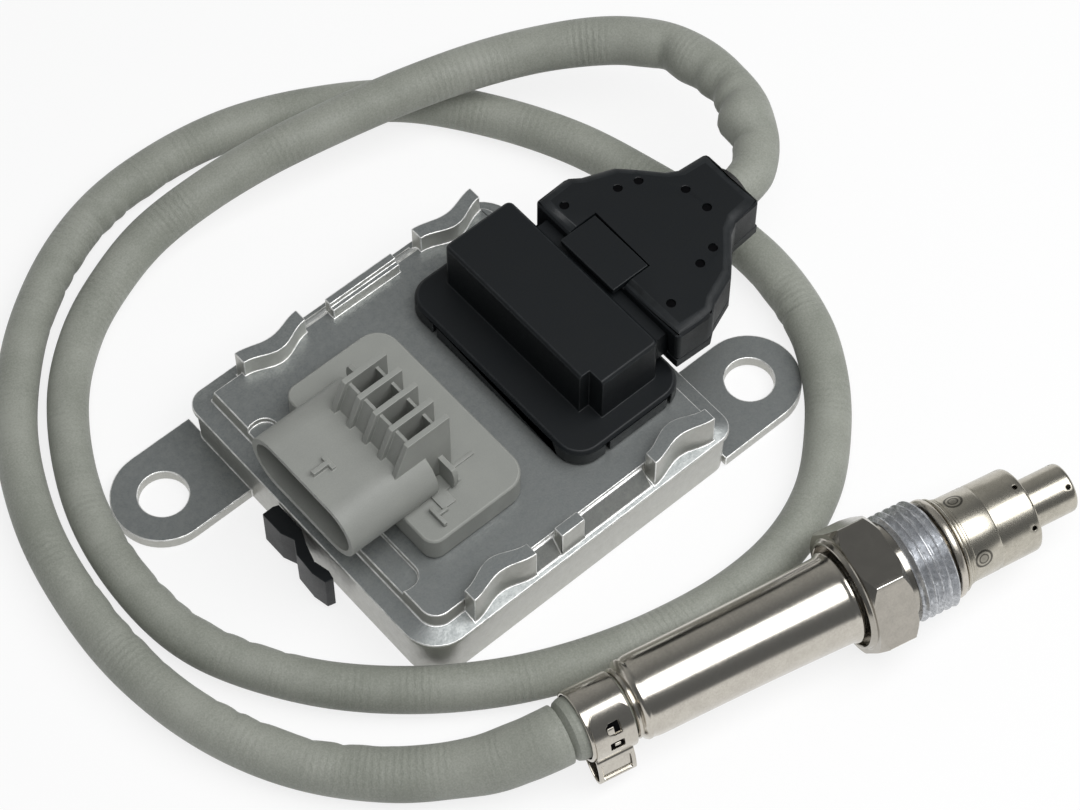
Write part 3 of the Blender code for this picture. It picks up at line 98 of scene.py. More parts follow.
def addMath(tree, operation, second=0.5):
    return addNode(tree, "Math", {1: second}, operation=operation)


def wire(tree, *links):
    # A link names a node, its output, the next node and its input, or two nodes for the first of both.
    for link in links:
        start, output, end, entry = link if len(link) == 4 else (link[0], 0, link[1], 0)
        tree.links.new(start.outputs[output], end.inputs[entry])


def addRange(tree, start=(0, 1), end=(0, 1), **settings):
    values = {"From Min": start[0], "From Max": start[1], "To Min": end[0], "To Max": end[1]}
    return addNode(tree, "MapRange", values, **settings)


def startGroup(name, inputs, outputs):
    # An input with four numbers is a colour, and so is an output called Color.
    group = bpy.data.node_groups.new(name, "ShaderNodeTree")
    for label, value in inputs.items():
        kind = "NodeSocketColor" if isinstance(value, tuple) else "NodeSocketFloat"
        group.interface.new_socket(name=label, in_out="INPUT", socket_type=kind).default_value = value
    for label in outputs:
        kind = "NodeSocketColor" if label == "Color" else "NodeSocketFloat"
        group.interface.new_socket(name=label, in_out="OUTPUT", socket_type=kind)
    return group, group.nodes.new("NodeGroupInput"), group.nodes.new("NodeGroupOutput")


mottle = {
    "cloudShare": 0.55,
    "grainShare": 0.45,
    "contrast": (0.38, 0.62),
}
# Noise that breaks up the painted edge highlight and wear.
edgeBreakUp = {
    "breakRange": (0.3, 0.6),
    "breakLevels": (0.35, 1),
}
# The cast alloy's upright walls are blended towards this paler colour: a painted reflection of the floor.
wallFloorReflection = {
    "finish": "castAlloy",
    "color": (0.5, 0.495, 0.455, 1),
    "steepness": (0.75, 0.25),
    "share": (0, 0.8),
}


def grainGroup(look):
    # Mottled colour and a fine cast or moulded surface, both on Object coordinates.
    group, inside, outside = startGroup(
        "surfaceGrain",
        {"Dark": (0.2, 0.2, 0.2, 1), "Light": (0.4, 0.4, 0.4, 1), "Cloud Scale": 90, "Grain Scale": 2500,
         "Smooth": 0.3, "Rough": 0.5},
        ("Color", "Roughness", "Height"))
    place = addNode(group, "TexCoord")
    cloud = addNode(group, "TexNoise", {"Detail": 5, "Roughness": 0.6})
    fine = addNode(group, "TexNoise", {"Detail": 3, "Roughness": 0.6})
    both = addMath(group, "MULTIPLY_ADD", look["grainShare"])
    centre = addMath(group, "MULTIPLY", look["cloudShare"])
    spread = addRange(group, look["contrast"])
    tint = addNode(group, "Mix", data_type="RGBA")
    shine = addRange(group)
    wire(group, (place, "Object", cloud, "Vector"), (place, "Object", fine, "Vector"),
         (inside, "Cloud Scale", cloud, "Scale"), (inside, "Grain Scale", fine, "Scale"), (cloud, centre),
         (fine, both), (centre, "Value", both, 2), (both, spread), (spread, "Result", tint, "Factor"),
         (inside, "Dark", tint, "A"), (inside, "Light", tint, "B"), (tint, "Result", outside, "Color"),
         (spread, shine), (inside, "Rough", shine, "To Min"), (inside, "Smooth", shine, "To Max"),
         (shine, "Result", outside, "Roughness"), (fine, "Fac", outside, "Height"))
    return group


def edgeGroup(look):
    # A mask on the faces of rounded edges, broken up by noise, where the edges are painted lighter: partly
    # wear, partly a painted highlight.
    group, inside, outside = startGroup(
        "edgeLightAndWear", {"Amount": 1, "Break Up Scale": 600}, ("Mask",))
    shape = addNode(group, "Attribute", attribute_name="edgeShine")
    place = addNode(group, "TexCoord")
    breaks = addNode(group, "TexNoise", {"Detail": 4})
    levels = addRange(group, look["breakRange"], look["breakLevels"])
    paleEdge = addMath(group, "MULTIPLY")
    mask = addNode(group, "Math", operation="MULTIPLY", use_clamp=True)
    wire(group, (place, "Object", breaks, "Vector"), (inside, "Break Up Scale", breaks, "Scale"),
         (breaks, levels), (shape, "Fac", paleEdge, 0), (levels, "Result", paleEdge, 1), (paleEdge, mask),
         (inside, "Amount", mask, 1), (mask, outside))
    return group


surfaceGrain = grainGroup(mottle)
edgeLightAndWear = edgeGroup(edgeBreakUp)


def startMaterial(name, sockets):
    shade = bpy.data.materials.new(name)
    shade.use_nodes = True
    surface = shade.node_tree.nodes["Principled BSDF"]
    for socket, value in sockets.items():
        surface.inputs[socket].default_value = value
    return shade, shade.node_tree, surface


def useGroup(tree, group, values):
    return addNode(tree, "Group", values, node_tree=group)


def useGrain(tree, dark, light, cloud, grain, smooth, rough):
    return useGroup(tree, surfaceGrain, {
        "Dark": (*dark, 1), "Light": (*light, 1), "Cloud Scale": cloud, "Grain Scale": grain,
        "Smooth": smooth, "Rough": rough})


def addBump(tree, surface, height, distance):
    bump = addNode(tree, "Bump", {"Distance": distance})
    tree.links.new(height, bump.inputs["Height"])
    wire(tree, (bump, "Normal", surface, "Normal"))


def sidesLit(tree, colour, look):
    # Upright walls are painted paler than the flat faces, as a painted reflection of the pale floor.
    shape = addNode(tree, "NewGeometry")
    parts = addNode(tree, "SeparateXYZ")
    height = addMath(tree, "ABSOLUTE")
    upright = addRange(tree, look["steepness"], look["share"])
    mixed = addNode(tree, "Mix", {"B": look["color"]}, data_type="RGBA")
    tree.links.new(colour, mixed.inputs["A"])
    wire(tree, (shape, "True Normal", parts, "Vector"), (parts, "Z", height, 0), (height, upright),
         (upright, "Result", mixed, "Factor"))
    return mixed.outputs["Result"]


def grainedMaterial(name, dark, light, cloud, grain, smooth, rough, bump, sockets=None):
    # Mottled colour, uneven gloss, a fine bump and edges painted lighter, partly as wear and partly as a
    # painted highlight.
    shade, tree, surface = startMaterial(name, sockets or {})
    mottled = useGrain(tree, dark, light, cloud, grain, smooth, rough)
    colour = mottled.outputs["Color"]
    # Painted reflection of the floor on the upright walls.
    if name == wallFloorReflection["finish"]:
        colour = sidesLit(tree, colour, wallFloorReflection)
    # Edges painted lighter: partly wear, partly a painted highlight.
    bright, amount = wearAndHighlightEdges.get(name, (light, 0))
    edge = useGroup(tree, edgeLightAndWear, {"Amount": amount})
    paleEdge = addNode(tree, "Mix", {"B": (*bright, 1)}, data_type="RGBA")
    tree.links.new(colour, paleEdge.inputs["A"])
    wire(tree, (edge, "Mask", paleEdge, "Factor"), (paleEdge, "Result", surface, "Base Color"),
         (mottled, "Roughness", surface, "Roughness"))
    addBump(tree, surface, mottled.outputs["Height"], bump)
    return shade


metal = {"Metallic": 1.0}
# Dark and light colour, scale of clouds and grain, roughness of light and dark, bump, other sockets.
finishes = {
    "castAlloy": ((0.225, 0.24, 0.24), (0.315, 0.33, 0.326), 700, 2600, 0.28, 0.42, 0.00003,
                  {"Metallic": 0.62}),
    "zincPlate": ((0.42, 0.42, 0.4), (0.55, 0.55, 0.52), 60, 900, 0.3, 0.45, 0.00001, metal),
    "satinSteel": ((0.5, 0.47, 0.41), (0.6, 0.56, 0.5), 220, 3200, 0.22, 0.34, 0.000006, metal),
    "polishedSteel": ((0.5, 0.47, 0.42), (0.58, 0.55, 0.49), 300, 2600, 0.15, 0.22, 0.0000018, metal),
    "nickelSteel": ((0.38, 0.36, 0.32), (0.43, 0.405, 0.36), 420, 2600, 0.14, 0.2, 0.000002, metal),
    "threadPaste": ((0.3, 0.31, 0.325), (0.66, 0.675, 0.7), 1100, 3000, 0.2, 0.38, 0.00001,
                    {"Metallic": 0.7}),
    "tipSteel": ((0.44, 0.415, 0.355), (0.54, 0.51, 0.44), 500, 2200, 0.23, 0.29, 0.0000012, metal),
    "deepShadow": ((0.0015, 0.0015, 0.0018), (0.0025, 0.0025, 0.003), 400, 3000, 0.8, 0.95, 0.000005,
                   {"Specular IOR Level": 0.05}),
    "bootCloth": ((0.236, 0.249, 0.214), (0.328, 0.339, 0.3), 70, 3000, 0.52, 0.68, 0.00002),
    "connectorGrey": ((0.255, 0.262, 0.245), (0.285, 0.292, 0.272), 120, 5200, 0.46, 0.58, 0.000012),
    "mouldedBlack": ((0.0038, 0.0052, 0.0064), (0.0062, 0.008, 0.0096), 130, 4200, 0.42, 0.54, 0.000014,
                     {"Specular IOR Level": 0.3}),
    "sealRubber": ((0.012, 0.012, 0.012), (0.022, 0.022, 0.022), 200, 3000, 0.6, 0.8, 0.00001),
    "boardGreen": ((0.012, 0.075, 0.03), (0.02, 0.12, 0.05), 400, 1800, 0.3, 0.45, 0.00001),
    "chipBlack": ((0.012, 0.012, 0.012), (0.02, 0.02, 0.02), 300, 5000, 0.45, 0.6, 0.000008),
    "tinnedCopper": ((0.5, 0.47, 0.4), (0.66, 0.62, 0.52), 500, 4000, 0.22, 0.35, 0.000004, metal),
    "bareCeramic": ((0.66, 0.64, 0.58), (0.78, 0.76, 0.7), 200, 4000, 0.5, 0.65, 0.00001),
    "pressedTalc": ((0.46, 0.45, 0.42), (0.6, 0.59, 0.55), 400, 5000, 0.85, 0.95, 0.00003),
    "leadSkin": ((0.24, 0.06, 0.04), (0.34, 0.09, 0.06), 150, 2500, 0.45, 0.6, 0.000006),
}
# The colour of the painted edge highlight and wear, and how strongly it shows.
wearAndHighlightEdges = {
    "castAlloy": ((0.95, 0.95, 0.93), 1.0),
    "satinSteel": ((0.85, 0.82, 0.76), 0.6),
    "polishedSteel": ((0.85, 0.82, 0.76), 0.5),
    "nickelSteel": ((0.92, 0.9, 0.85), 1.0),
    "tipSteel": ((0.85, 0.82, 0.76), 0.6),
    "connectorGrey": ((0.34, 0.345, 0.32), 0.5),
    "mouldedBlack": ((0.022, 0.025, 0.027), 0.6),
}
shades = {name: grainedMaterial(name, *look) for name, look in finishes.items()}

weldSpots = {
    "along": 0.0642,
    "turn": radians(-28),
    "radius": 0.0078,
    "count": 4,
    # share of the reach and brightness there
    "rings": ((0.00, 0.5), (0.22, 0.62), (0.25, 0.2), (0.3, 0.24), (0.34, 0.8), (0.42, 0.85), (0.46, 0.22),
        (0.54, 0.24), (0.6, 1.00)),
    "reach": 0.003,
}
probe = {"rear": (-0.0138, -0.0601, 0.011), "heading": radians(-12.4)}
heading = Vector((cos(probe["heading"]), sin(probe["heading"]), 0))
sideways = heading.cross(up)
probeRear = Vector(probe["rear"])


def weldedMaterial(look):
    # The tip's steel, with round weld spots in line round the tube.
    shade = shades["tipSteel"].copy()
    shade.name = "spottedSteel"
    tree = shade.node_tree
    surface = tree.nodes["Principled BSDF"]
    place = addNode(tree, "TexCoord")
    away = addNode(tree, "VectorMath", {1: probeRear}, operation="SUBTRACT")
    ahead, high, wide = (addNode(tree, "VectorMath", {1: direction}, operation="DOT_PRODUCT")
                         for direction in (heading, up, sideways))
    turn = addMath(tree, "ARCTAN2")
    shifted = addMath(tree, "SUBTRACT", look["turn"])
    nearest = addMath(tree, "PINGPONG", pi / look["count"])
    arc = addMath(tree, "MULTIPLY", look["radius"])
    run = addMath(tree, "SUBTRACT", look["along"])
    flat = addNode(tree, "CombineXYZ")
    distance = addNode(tree, "VectorMath", operation="LENGTH")
    share = addRange(tree, (0, look["reach"]))
    ramp = addNode(tree, "ValToRGB")
    stops = ramp.color_ramp.elements
    while len(stops) < len(look["rings"]):
        stops.new(0.5)
    for stop, (position, level) in zip(stops, look["rings"]):
        stop.position = position
        stop.color = (level, level, level, 1)
    tinted = addNode(tree, "Mix", {"Factor": 1.0}, data_type="RGBA", blend_type="MULTIPLY")
    tree.links.new(surface.inputs["Base Color"].links[0].from_socket, tinted.inputs["A"])
    wire(tree, (place, "Object", away, 0), (away, ahead), (away, high), (away, wide),
         (wide, "Value", turn, 0), (high, "Value", turn, 1), (turn, shifted), (shifted, nearest),
         (nearest, arc), (ahead, "Value", run, 0), (run, "Value", flat, "X"), (arc, "Value", flat, "Y"),
         (flat, distance), (distance, "Value", share, "Value"), (share, ramp), (ramp, "Color", tinted, "B"),
         (tinted, "Result", surface, "Base Color"))
    return shade


shades["spottedSteel"] = weldedMaterial(weldSpots)
print("plain materials ready")

# The cable's sleeve.

sleeve = {
    "sides": 28,
    "samples": 1300,
    "routeSamples": 2000,
    "start": (0.0612, -0.0028, 0.0255),
    # where it ends on the probe's axis
    "end": -0.0133,
    "straight": 0.002,
    "diameter": 0.008,
    "length": 0.7365,
    "lying": 4.2,
    "clearance": 0.0001,
    "ribPitch": 0.00125,
    "mapTurns": 8,
    # distance along the sleeve and its radius there
    "radii": ((0.000, 0.004), (0.006, 0.0041), (0.014, 0.0044), (0.022, 0.0047), (0.03, 0.0045),
        (0.04, 0.0044), (0.055, 0.0045), (0.07, 0.0043), (0.1, 0.0041), (0.15, 0.0039), (0.2, 0.0037),
        (0.24, 0.0039), (0.3, 0.0041), (0.345, 0.0041), (0.4, 0.0042), (0.44, 0.0041), (0.5, 0.004),
        (0.56, 0.0038), (0.62, 0.0039), (0.66, 0.0042), (0.69, 0.0044), (0.715, 0.0047), (0.728, 0.0052),
        (0.7365, 0.0053)),
    # where it is pushed towards the inner side of the bend
    "lean": ((0.003, 0.0), (0.013, 0.0012), (0.028, 0.0012), (0.045, 0.0)),
    # slow lumps: rate along and around, share of the radius
    "lumps": (60, 0.8, 0.02),
    # which side is the inner one, and how narrow it is
    "inner": (0.35, 1.5),
    # bellies and tucks on the inner side: middle, reach, half length
    "bellies": ((0.0125, -0.0009, 0.0016), (0.0182, 0.0014, 0.0028), (0.0235, -0.001, 0.0017),
        (0.0285, -0.0017, 0.0024), (0.0335, -0.0006, 0.0016), (0.0385, 0.0007, 0.0026),
        (0.0435, -0.0008, 0.0016), (0.049, 0.0003, 0.0025)),
    # where the inner side is creased: from, to, distance between creases, depth
    "creases": ((0.205, 0.262, 0.0068, 0.0004), (0.395, 0.415, 0.0055, 0.00045),
        (0.536, 0.584, 0.0064, 0.0008), (0.636, 0.664, 0.006, 0.00036), (0.67, 0.708, 0.0066, 0.00042)),
    # how the creases wander: amount, rate along and around, seed of each run
    "wander": (0.9, 130, 0.3, 90),
    # a crease's height, sharpness and drop
    "creaseShape": (1.5, 0.6, 1.0),
    # how their depth varies: mean, swing, rate along, seed
    "creaseDepths": (0.6, 0.8, 300, 4),
}
weave = {
    "sockets": {"Sheen Weight": 0.12, "Sheen Roughness": 0.5, "Specular IOR Level": 0.35},
    "wobbleScale": 3.0,
    "wobble": 5.0,
    "patchScale": 0.11,
    "patchRange": (0.45, 0.7),
    "ribStrength": (0.06, 0.6),
    # how much the ribs darken the grooves and lighten the crests: painted shade and highlight
    "ribShadeRange": (0.94, 1.04),
    "grainShare": 0.35,
    "bump": 0.00007,
}
# The cable's middle in millimetres. Where no height is given, the cable lies on the table.
cableRoute = (
    (67.5, -1.6, 25.4), (71.9, 1.5, 25), (75.3, 6.6, 24.4), (77.7, 12.8, 23.5), (78.7, 20.2, 22.5),
    (77.8, 27.4, 21.3), (74.9, 34.6, 19.9), (69.2, 41.6, 18.4), (60.4, 48.4, 16.8), (49.5, 54, 15.5),
    (36.5, 58.7, 14.4), (22.8, 62.4, 13.4), (9, 65.6, 12), (-4, 67.9, 9.4), (-16, 68.6, 6.6),
    (-27, 66, 4.9), (-37, 61, 4.3), (-46.5, 52.6), (-54.2, 41), (-59.2, 28.5), (-61.3, 15), (-60.6, 1.5),
    (-56.4, -9.8), (-48.4, -21.9), (-38, -32.3), (-25.8, -41), (-12.8, -47.3), (1, -51.6), (15.2, -53.9),
    (28.6, -53.1), (40.4, -48.6), (50.2, -40.8), (57.6, -32), (62.9, -21.8), (65.5, -8.5), (64.6, 5.5),
    (61.6, 20), (57.2, 35), (49.6, 49.8), (39.4, 63.1), (26.5, 72.4), (12, 79), (-3.5, 81.7),
    (-18.5, 80.8), (-33, 75.4), (-46.8, 65.6), (-58.7, 51.6), (-66.7, 34.7), (-70.4, 16.6), (-70.6, -1),
    (-67.2, -17), (-60.2, -31.2), (-50.5, -42.4, 4.7), (-39.8, -50.8, 6.5), (-33, -54.8, 9.2))


def probePoint(along, radius=0.0, angle=0.0):
    # The angle is turned about the axis from straight up.
    return probeRear + heading * along + (up * cos(angle) + sideways * sin(angle)) * radius


def routePoint(point, height):
    return Vector([value / 1000 for value in (*point, height)[:3]])


def smoothRoute(route, count, steps=24):
    # Even samples of a smooth curve through the route's points.
    dense = []
    padded = [route[0] * 2 - route[1], *route, route[-1] * 2 - route[-2]]
    for before, start, end, after in zip(padded, padded[1:], padded[2:], padded[3:]):
        for step in range(steps):
            t = step / steps
            dense.append(0.5 * (2 * start + (end - before) * t
                                + (2 * before - 5 * start + 4 * end - after) * t ** 2
                                + (3 * start - before - 3 * end + after) * t ** 3))
    dense.append(route[-1])
    return evenSamples(dense, count)


def evenSamples(points, count):
    lengths = [0.0]
    for a, b in zip(points, points[1:]):
        lengths.append(lengths[-1] + (b - a).length)
    samples = []
    place = 0
    for step in range(count):
        wanted = lengths[-1] * step / (count - 1)
        while place < len(points) - 2 and lengths[place + 1] < wanted:
            place += 1
        share = (wanted - lengths[place]) / (lengths[place + 1] - lengths[place])
        samples.append(points[place].lerp(points[place + 1], min(share, 1)))
    return samples


def between(pairs, place):
    # A smooth value between given (place, value) pairs.
    if place <= pairs[0][0]:
        return pairs[0][1]
    for (low, a), (high, b) in zip(pairs, pairs[1:]):
        if place <= high:
            share = (place - low) / (high - low)
            return a + (b - a) * share * share * (3 - 2 * share)
    return pairs[-1][1]


def sleeveMaterial(look):
    # The boot's cloth, with ribs round it that are strong in some patches and faint in others. The ribs
    # also tint the colour: painted shade in the grooves, painted highlight on the crests.
    shade, tree, surface = startMaterial("sleeveFabric", look["sockets"])
    grain = useGrain(tree, *finishes["bootCloth"][:6])
    place = addNode(tree, "UVMap", uv_map="sleeveMap")
    parts = addNode(tree, "SeparateXYZ")
    wobble = addNode(tree, "TexNoise", {"Scale": look["wobbleScale"], "Detail": 3}, noise_dimensions="2D")
    shift = addMath(tree, "MULTIPLY_ADD", look["wobble"])
    turns = addMath(tree, "MULTIPLY_ADD", 2 * pi)
    wave = addMath(tree, "SINE")
    patch = addNode(tree, "TexNoise", {"Scale": look["patchScale"], "Detail": 2}, noise_dimensions="2D")
    strength = addRange(tree, look["patchRange"], look["ribStrength"])
    ribs = addMath(tree, "MULTIPLY")
    height = addMath(tree, "MULTIPLY_ADD", look["grainShare"])
    # Painted shade in the rib grooves and painted highlight on their crests.
    grooveShade = addRange(tree, (-1, 1), look["ribShadeRange"])
    tinted = addNode(tree, "Mix", {"Factor": 1.0}, data_type="RGBA", blend_type="MULTIPLY")
    wire(tree, (place, parts), (place, wobble), (place, patch), (wobble, shift), (parts, "X", turns, 0),
         (shift, "Value", turns, 2), (turns, wave), (patch, strength), (wave, ribs),
         (strength, "Result", ribs, 1), (grain, "Height", height, 0), (ribs, "Value", height, 2),
         (ribs, grooveShade), (grain, "Color", tinted, "A"), (grooveShade, "Result", tinted, "B"),
         (tinted, "Result", surface, "Base Color"), (grain, "Roughness", surface, "Roughness"))
    addBump(tree, surface, height.outputs["Value"], look["bump"])
    return shade


shades["sleeveFabric"] = sleeveMaterial(weave)


def startWork(source=None):
    work = bmesh.new()
    if source:
        work.from_mesh(source)
    work.faces.layers.float.new("edgeShine")
    return work


def bevelEdges(work, edges, width, segments=2, clamp=True):
    return bmesh.ops.bevel(work, geom=edges, offset=width, segments=segments, profile=0.5,
                           affect="EDGES", clamp_overlap=clamp, material=-1)["faces"]


def roundOff(work, edges, width, segments=2):
    # The new faces are marked, so that the finish can paint them lighter, as wear and as a painted
    # highlight.
    shine = work.faces.layers.float.get("edgeShine")
    for face in bevelEdges(work, edges, width, segments, clamp=False):
        face[shine] = 1.0


def finishPiece(name, work, finish, stands=(), sharp=35, body="sensor"):
    # The piece takes the place of the nodes it stands for.
    bmesh.ops.recalc_face_normals(work, faces=work.faces)
    mesh = bpy.data.meshes.new(name)
    work.to_mesh(mesh)
    work.free()
    mesh.materials.append(shades[finish])
    mesh.shade_smooth()
    mesh.set_sharp_from_angle(angle=radians(sharp))
    piece = addObject(name, mesh)
    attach(piece, body)
    if stands:
        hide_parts(*stands)
    return piece


def tubeAlong(path, radiusAt, look):
    # A flat grid rolled round the path. Its map runs in ribs along and in turns around.
    work = bmesh.new()
    chart = work.loops.layers.uv.new("sleeveMap")
    last = len(path) - 1
    bmesh.ops.create_grid(work, x_segments=last, y_segments=look["sides"], size=0.5, calc_uvs=True)
    frames = []
    for index, point in enumerate(path):
        along = (path[min(index + 1, last)] - path[max(index - 1, 0)]).normalized()
        right = along.cross(up).normalized()
        frames.append((point, right, right.cross(along)))
    total = sum((b - a).length for a, b in zip(path, path[1:]))
    for face in work.faces:
        for corner in face.loops:
            x, y = corner.vert.co.x + 0.5, corner.vert.co.y + 0.5
            corner[chart].uv = (x * total / look["ribPitch"], y * look["mapTurns"])
    for vert in work.verts:
        index = round((vert.co.x + 0.5) * last)
        angle = (vert.co.y + 0.5) * 2 * pi
        point, right, above = frames[index]
        radius = radiusAt(total * index / last, angle, look)
        vert.co = point + (right * cos(angle) + above * sin(angle)) * radius
        vert.co.z = max(vert.co.z, look["clearance"])
    bmesh.ops.remove_doubles(work, verts=work.verts, dist=1e-7)
    rims = [edge for edge in work.edges if edge.is_boundary]
    bmesh.ops.holes_fill(work, edges=rims, sides=0)
    return work


def creaseFold(place, angle, look):
    # How far a crease moves the inner side at this place.
    amount, alongRate, aroundRate, apart = look["wander"]
    height, sharpness, drop = look["creaseShape"]
    mean, swing, rate, seed = look["creaseDepths"]
    fold = 0.0
    for start, end, pitch, depth in look["creases"]:
        if start < place < end:
            fade = min(1, (place - start) / pitch, (end - place) / pitch)
            drift = amount * noise.noise(Vector((place * alongRate, angle * aroundRate, start * apart)))
            wave = abs(sin(pi * ((place - start) / pitch + drift)))
            level = mean + swing * noise.noise(Vector((place * rate, seed, 0)))
            fold += depth * fade * (height * wave ** sharpness - drop) * level
    return fold


def sleeveRadius(place, angle, look):
    rate, around, share = look["lumps"]
    turned, narrow = look["inner"]
    lumps = noise.noise(Vector((place * rate, cos(angle) * around, sin(angle) * around)))
    inner = max(0.0, -cos(angle + turned)) ** narrow
    fold = 0.0
    for middle, reach, half in look["bellies"]:
        fold += reach * exp(-(((place - middle) / half) ** 2))
    fold += creaseFold(place, angle, look)
    lean = between(look["lean"], place) * cos(angle)
    return between(look["radii"], place) * (1 + share * lumps) - lean + fold * inner


def makeSleeve(look):
    start = Vector(look["start"])
    route = [start + Vector((look["straight"], 0, 0)),
             *(routePoint(point, look["lying"]) for point in cableRoute),
             probePoint(look["end"] - look["straight"])]
    path = evenSamples([start, *smoothRoute(route, look["routeSamples"]), probePoint(look["end"])],
                       look["samples"])
    piece = finishPiece("cableSleeve", tubeAlong(path, sleeveRadius, look), "sleeveFabric",
                        stands=("cable",), sharp=60)


makeSleeve(sleeve)
print("cable sleeve ready")


def numbered(name, count):
    return tuple(f"{name}_{number}" for number in range(1, count + 1))


# CAD nodes that keep their shape get a finish of their own.
keptNodes = {
    "zincPlate": ("base_cover", *numbered("board_screw", 4), *numbered("capacitor", 2)),
    "sealRubber": ("cover_seal", "vehicle_connector_seal", "sensor_header_seal", "cable_grommet",
                   "rear_grommet"),
    "boardGreen": ("circuit_board",),
    "chipBlack": ("controller_chip", "driver_chip"),
    "tinnedCopper": numbered("vehicle_pin", 4) + numbered("sensor_pin", 5),
    "bareCeramic": ("ceramic_bush_rear", "ceramic_bush_front", "sensing_element", "contact_insulator"),
    "pressedTalc": ("talc_seal",),
    "leadSkin": numbered("plug_lead", 5) + numbered("probe_lead", 5),
    "satinSteel": ("inner_protection_tube", "sensor_body"),
    "mouldedBlack": ("terminal_carrier",),
    "bootCloth": ("sleeve_boot",),
}
for finish, names in keptNodes.items():
    for name in names:
        for holder in nodes[name].material_slots:
            holder.material = shades[finish]

softening = {
    "merge": 2e-6,
    "flat": radians(1),
    "sharp": radians(30),
    "topDepth": 0.0001,
    "shortest": 0.002,
    "upright": 0.9,
    "latchRoom": 0.001,
    "pitEdge": 0.0008,
    "crownSteps": 5,
}


def crownOutline(work, edges, look):
    # The top outline and the upright corners, apart from those beside the latch.
    top = max(vert.co.z for vert in work.verts) - look["topDepth"]
    low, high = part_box("plug_latch")
    room = look["latchRoom"]
    outline = []
    for edge in edges:
        ends = edge.verts
        rise = abs(ends[0].co.z - ends[1].co.z)
        crowning = all(vert.co.z > top for vert in ends) or rise > look["upright"] * edge.calc_length()
        latched = all(vert.co.x < high[0] + room and low[1] - room < vert.co.y < high[1] + room
                      for vert in ends)
        if edge.is_convex and edge.calc_length() > look["shortest"] and crowning and not latched:
            outline.append(edge)
    return outline


def softened(name, node, width, finish, slot, crown=0.0):
    # A copy with its flat faces merged and its edges rounded, its top outline more than the rest.
    look = softening
    work = startWork(nodes[node].data)
    bmesh.ops.remove_doubles(work, verts=work.verts, dist=look["merge"])
    bmesh.ops.dissolve_limit(work, angle_limit=look["flat"], verts=work.verts, edges=work.edges)
    edges = [edge for edge in work.edges
             if len(edge.link_faces) == 2 and edge.calc_face_angle(0) > look["sharp"]]
    if crown:
        outline = crownOutline(work, edges, look)
        pits = [edge for edge in edges if edge.calc_length() < look["pitEdge"]]
        edges = [edge for edge in edges if edge not in outline and edge not in pits]
        roundOff(work, outline, crown, look["crownSteps"])
        edges = [edge for edge in edges if edge.is_valid]
    roundOff(work, edges, width)
    piece = finishPiece(name, work, finish, stands=(node,), sharp=40)
    piece.modifiers.new("evenNormals", "WEIGHTED_NORMAL").keep_sharp = True


# The node, the width of its edges, its finish, its slot and the width of its top outline.
rounded = {
    "castHousing": ("module_housing", 0.0002, "castAlloy", "cast_alloy"),
    "greyConnector": ("vehicle_connector", 0.00012, "connectorGrey", "grey_plastic"),
    "blackHeader": ("sensor_header", 0.00018, "mouldedBlack", "black_plastic"),
    "plugTopShell": ("plug_upper_shell", 0.00016, "mouldedBlack", "black_plastic", 0.0009),
    "plugBottomShell": ("plug_lower_shell", 0.00018, "mouldedBlack", "black_plastic"),
    "plugLatch": ("plug_latch", 0.00018, "mouldedBlack", "black_plastic"),
    "wallClip": ("side_clip", 0.00016, "mouldedBlack", "black_plastic"),
}
for name, look in rounded.items():
    softened(name, *look)

padDetails = {
    "top": 21.2,
    "step": ((-6.6, -11.2), (-6.6, -11.9), (-11.7, -11.9), (-11.7, -14.3), (-14.9, -14.3), (-14.9, -16.9),
        (-17.7, -16.9), (-17.7, -11.2)),
    "stepHeight": 0.45,
    # how deep the step and the ribs stand in the pad
    "stepRoot": 0.0002,
    "ribRoot": 0.2,
    # the middle and the size of each rib
    "ribs": (((-19.3, -17.5), (0.7, 4.0, 1.1)), ((-18.1, -17.2), (2.2, 0.6, 0.8))),
    "rounding": 0.00012,
    "shortest": 0.0003,
}
plugPits = {
    "centres": ((0.034, 0.0116), (0.0435, 0.0083), (0.0473, 0.0071), (0.0523, 0.0004), (0.0525, -0.0049),
        (0.0476, -0.0118), (0.0437, -0.0128), (0.0344, -0.0156)),
    "radius": 0.00086,
    "depth": 0.00035,
    "thickness": 0.00006,
    "sides": 24,
}


def makePadDetails(look):
    # The stepped land beside the shroud and the small ribs at the end of the grey pad.
    work = startWork()
    root = look["stepRoot"]
    land = work.faces.new([work.verts.new((x / 1000, y / 1000, look["top"] / 1000 - root))
                           for x, y in look["step"]])
    raised = bmesh.ops.extrude_face_region(work, geom=[land])["geom"]
    bmesh.ops.translate(work, verts=[item for item in raised if isinstance(item, bmesh.types.BMVert)],
                        vec=(0, 0, look["stepHeight"] / 1000 + root))
    edges = [edge for edge in work.edges if edge.calc_length() > look["shortest"]]
    roundOff(work, edges, look["rounding"])
    finishPiece("padStep", work, "connectorGrey")
    root = look["ribRoot"]
    for number, ((x, y), (long, wide, high)) in enumerate(look["ribs"], 1):
        work = startWork()
        place = Matrix.Translation((x / 1000, y / 1000, (look["top"] + high / 2 - root / 2) / 1000))
        size = Matrix.Diagonal((long, wide, high + root, 1))
        bmesh.ops.create_cube(work, size=0.001, matrix=place @ size)
        roundOff(work, work.edges[:], look["rounding"])
        finishPiece(f"padRib{number}", work, "connectorGrey")


def makePits(look):
    # The bottoms of the pits in the plug's top are too deep for light.
    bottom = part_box("plug_upper_shell")[1][2] - look["depth"]
    for number, (x, y) in enumerate(look["centres"], 1):
        work = startWork()
        bmesh.ops.create_cone(work, cap_ends=True, segments=look["sides"], radius1=look["radius"],
                              radius2=look["radius"], depth=look["thickness"],
                              matrix=Matrix.Translation((x, y, bottom)))
        finishPiece(f"plugPit{number}", work, "deepShadow")


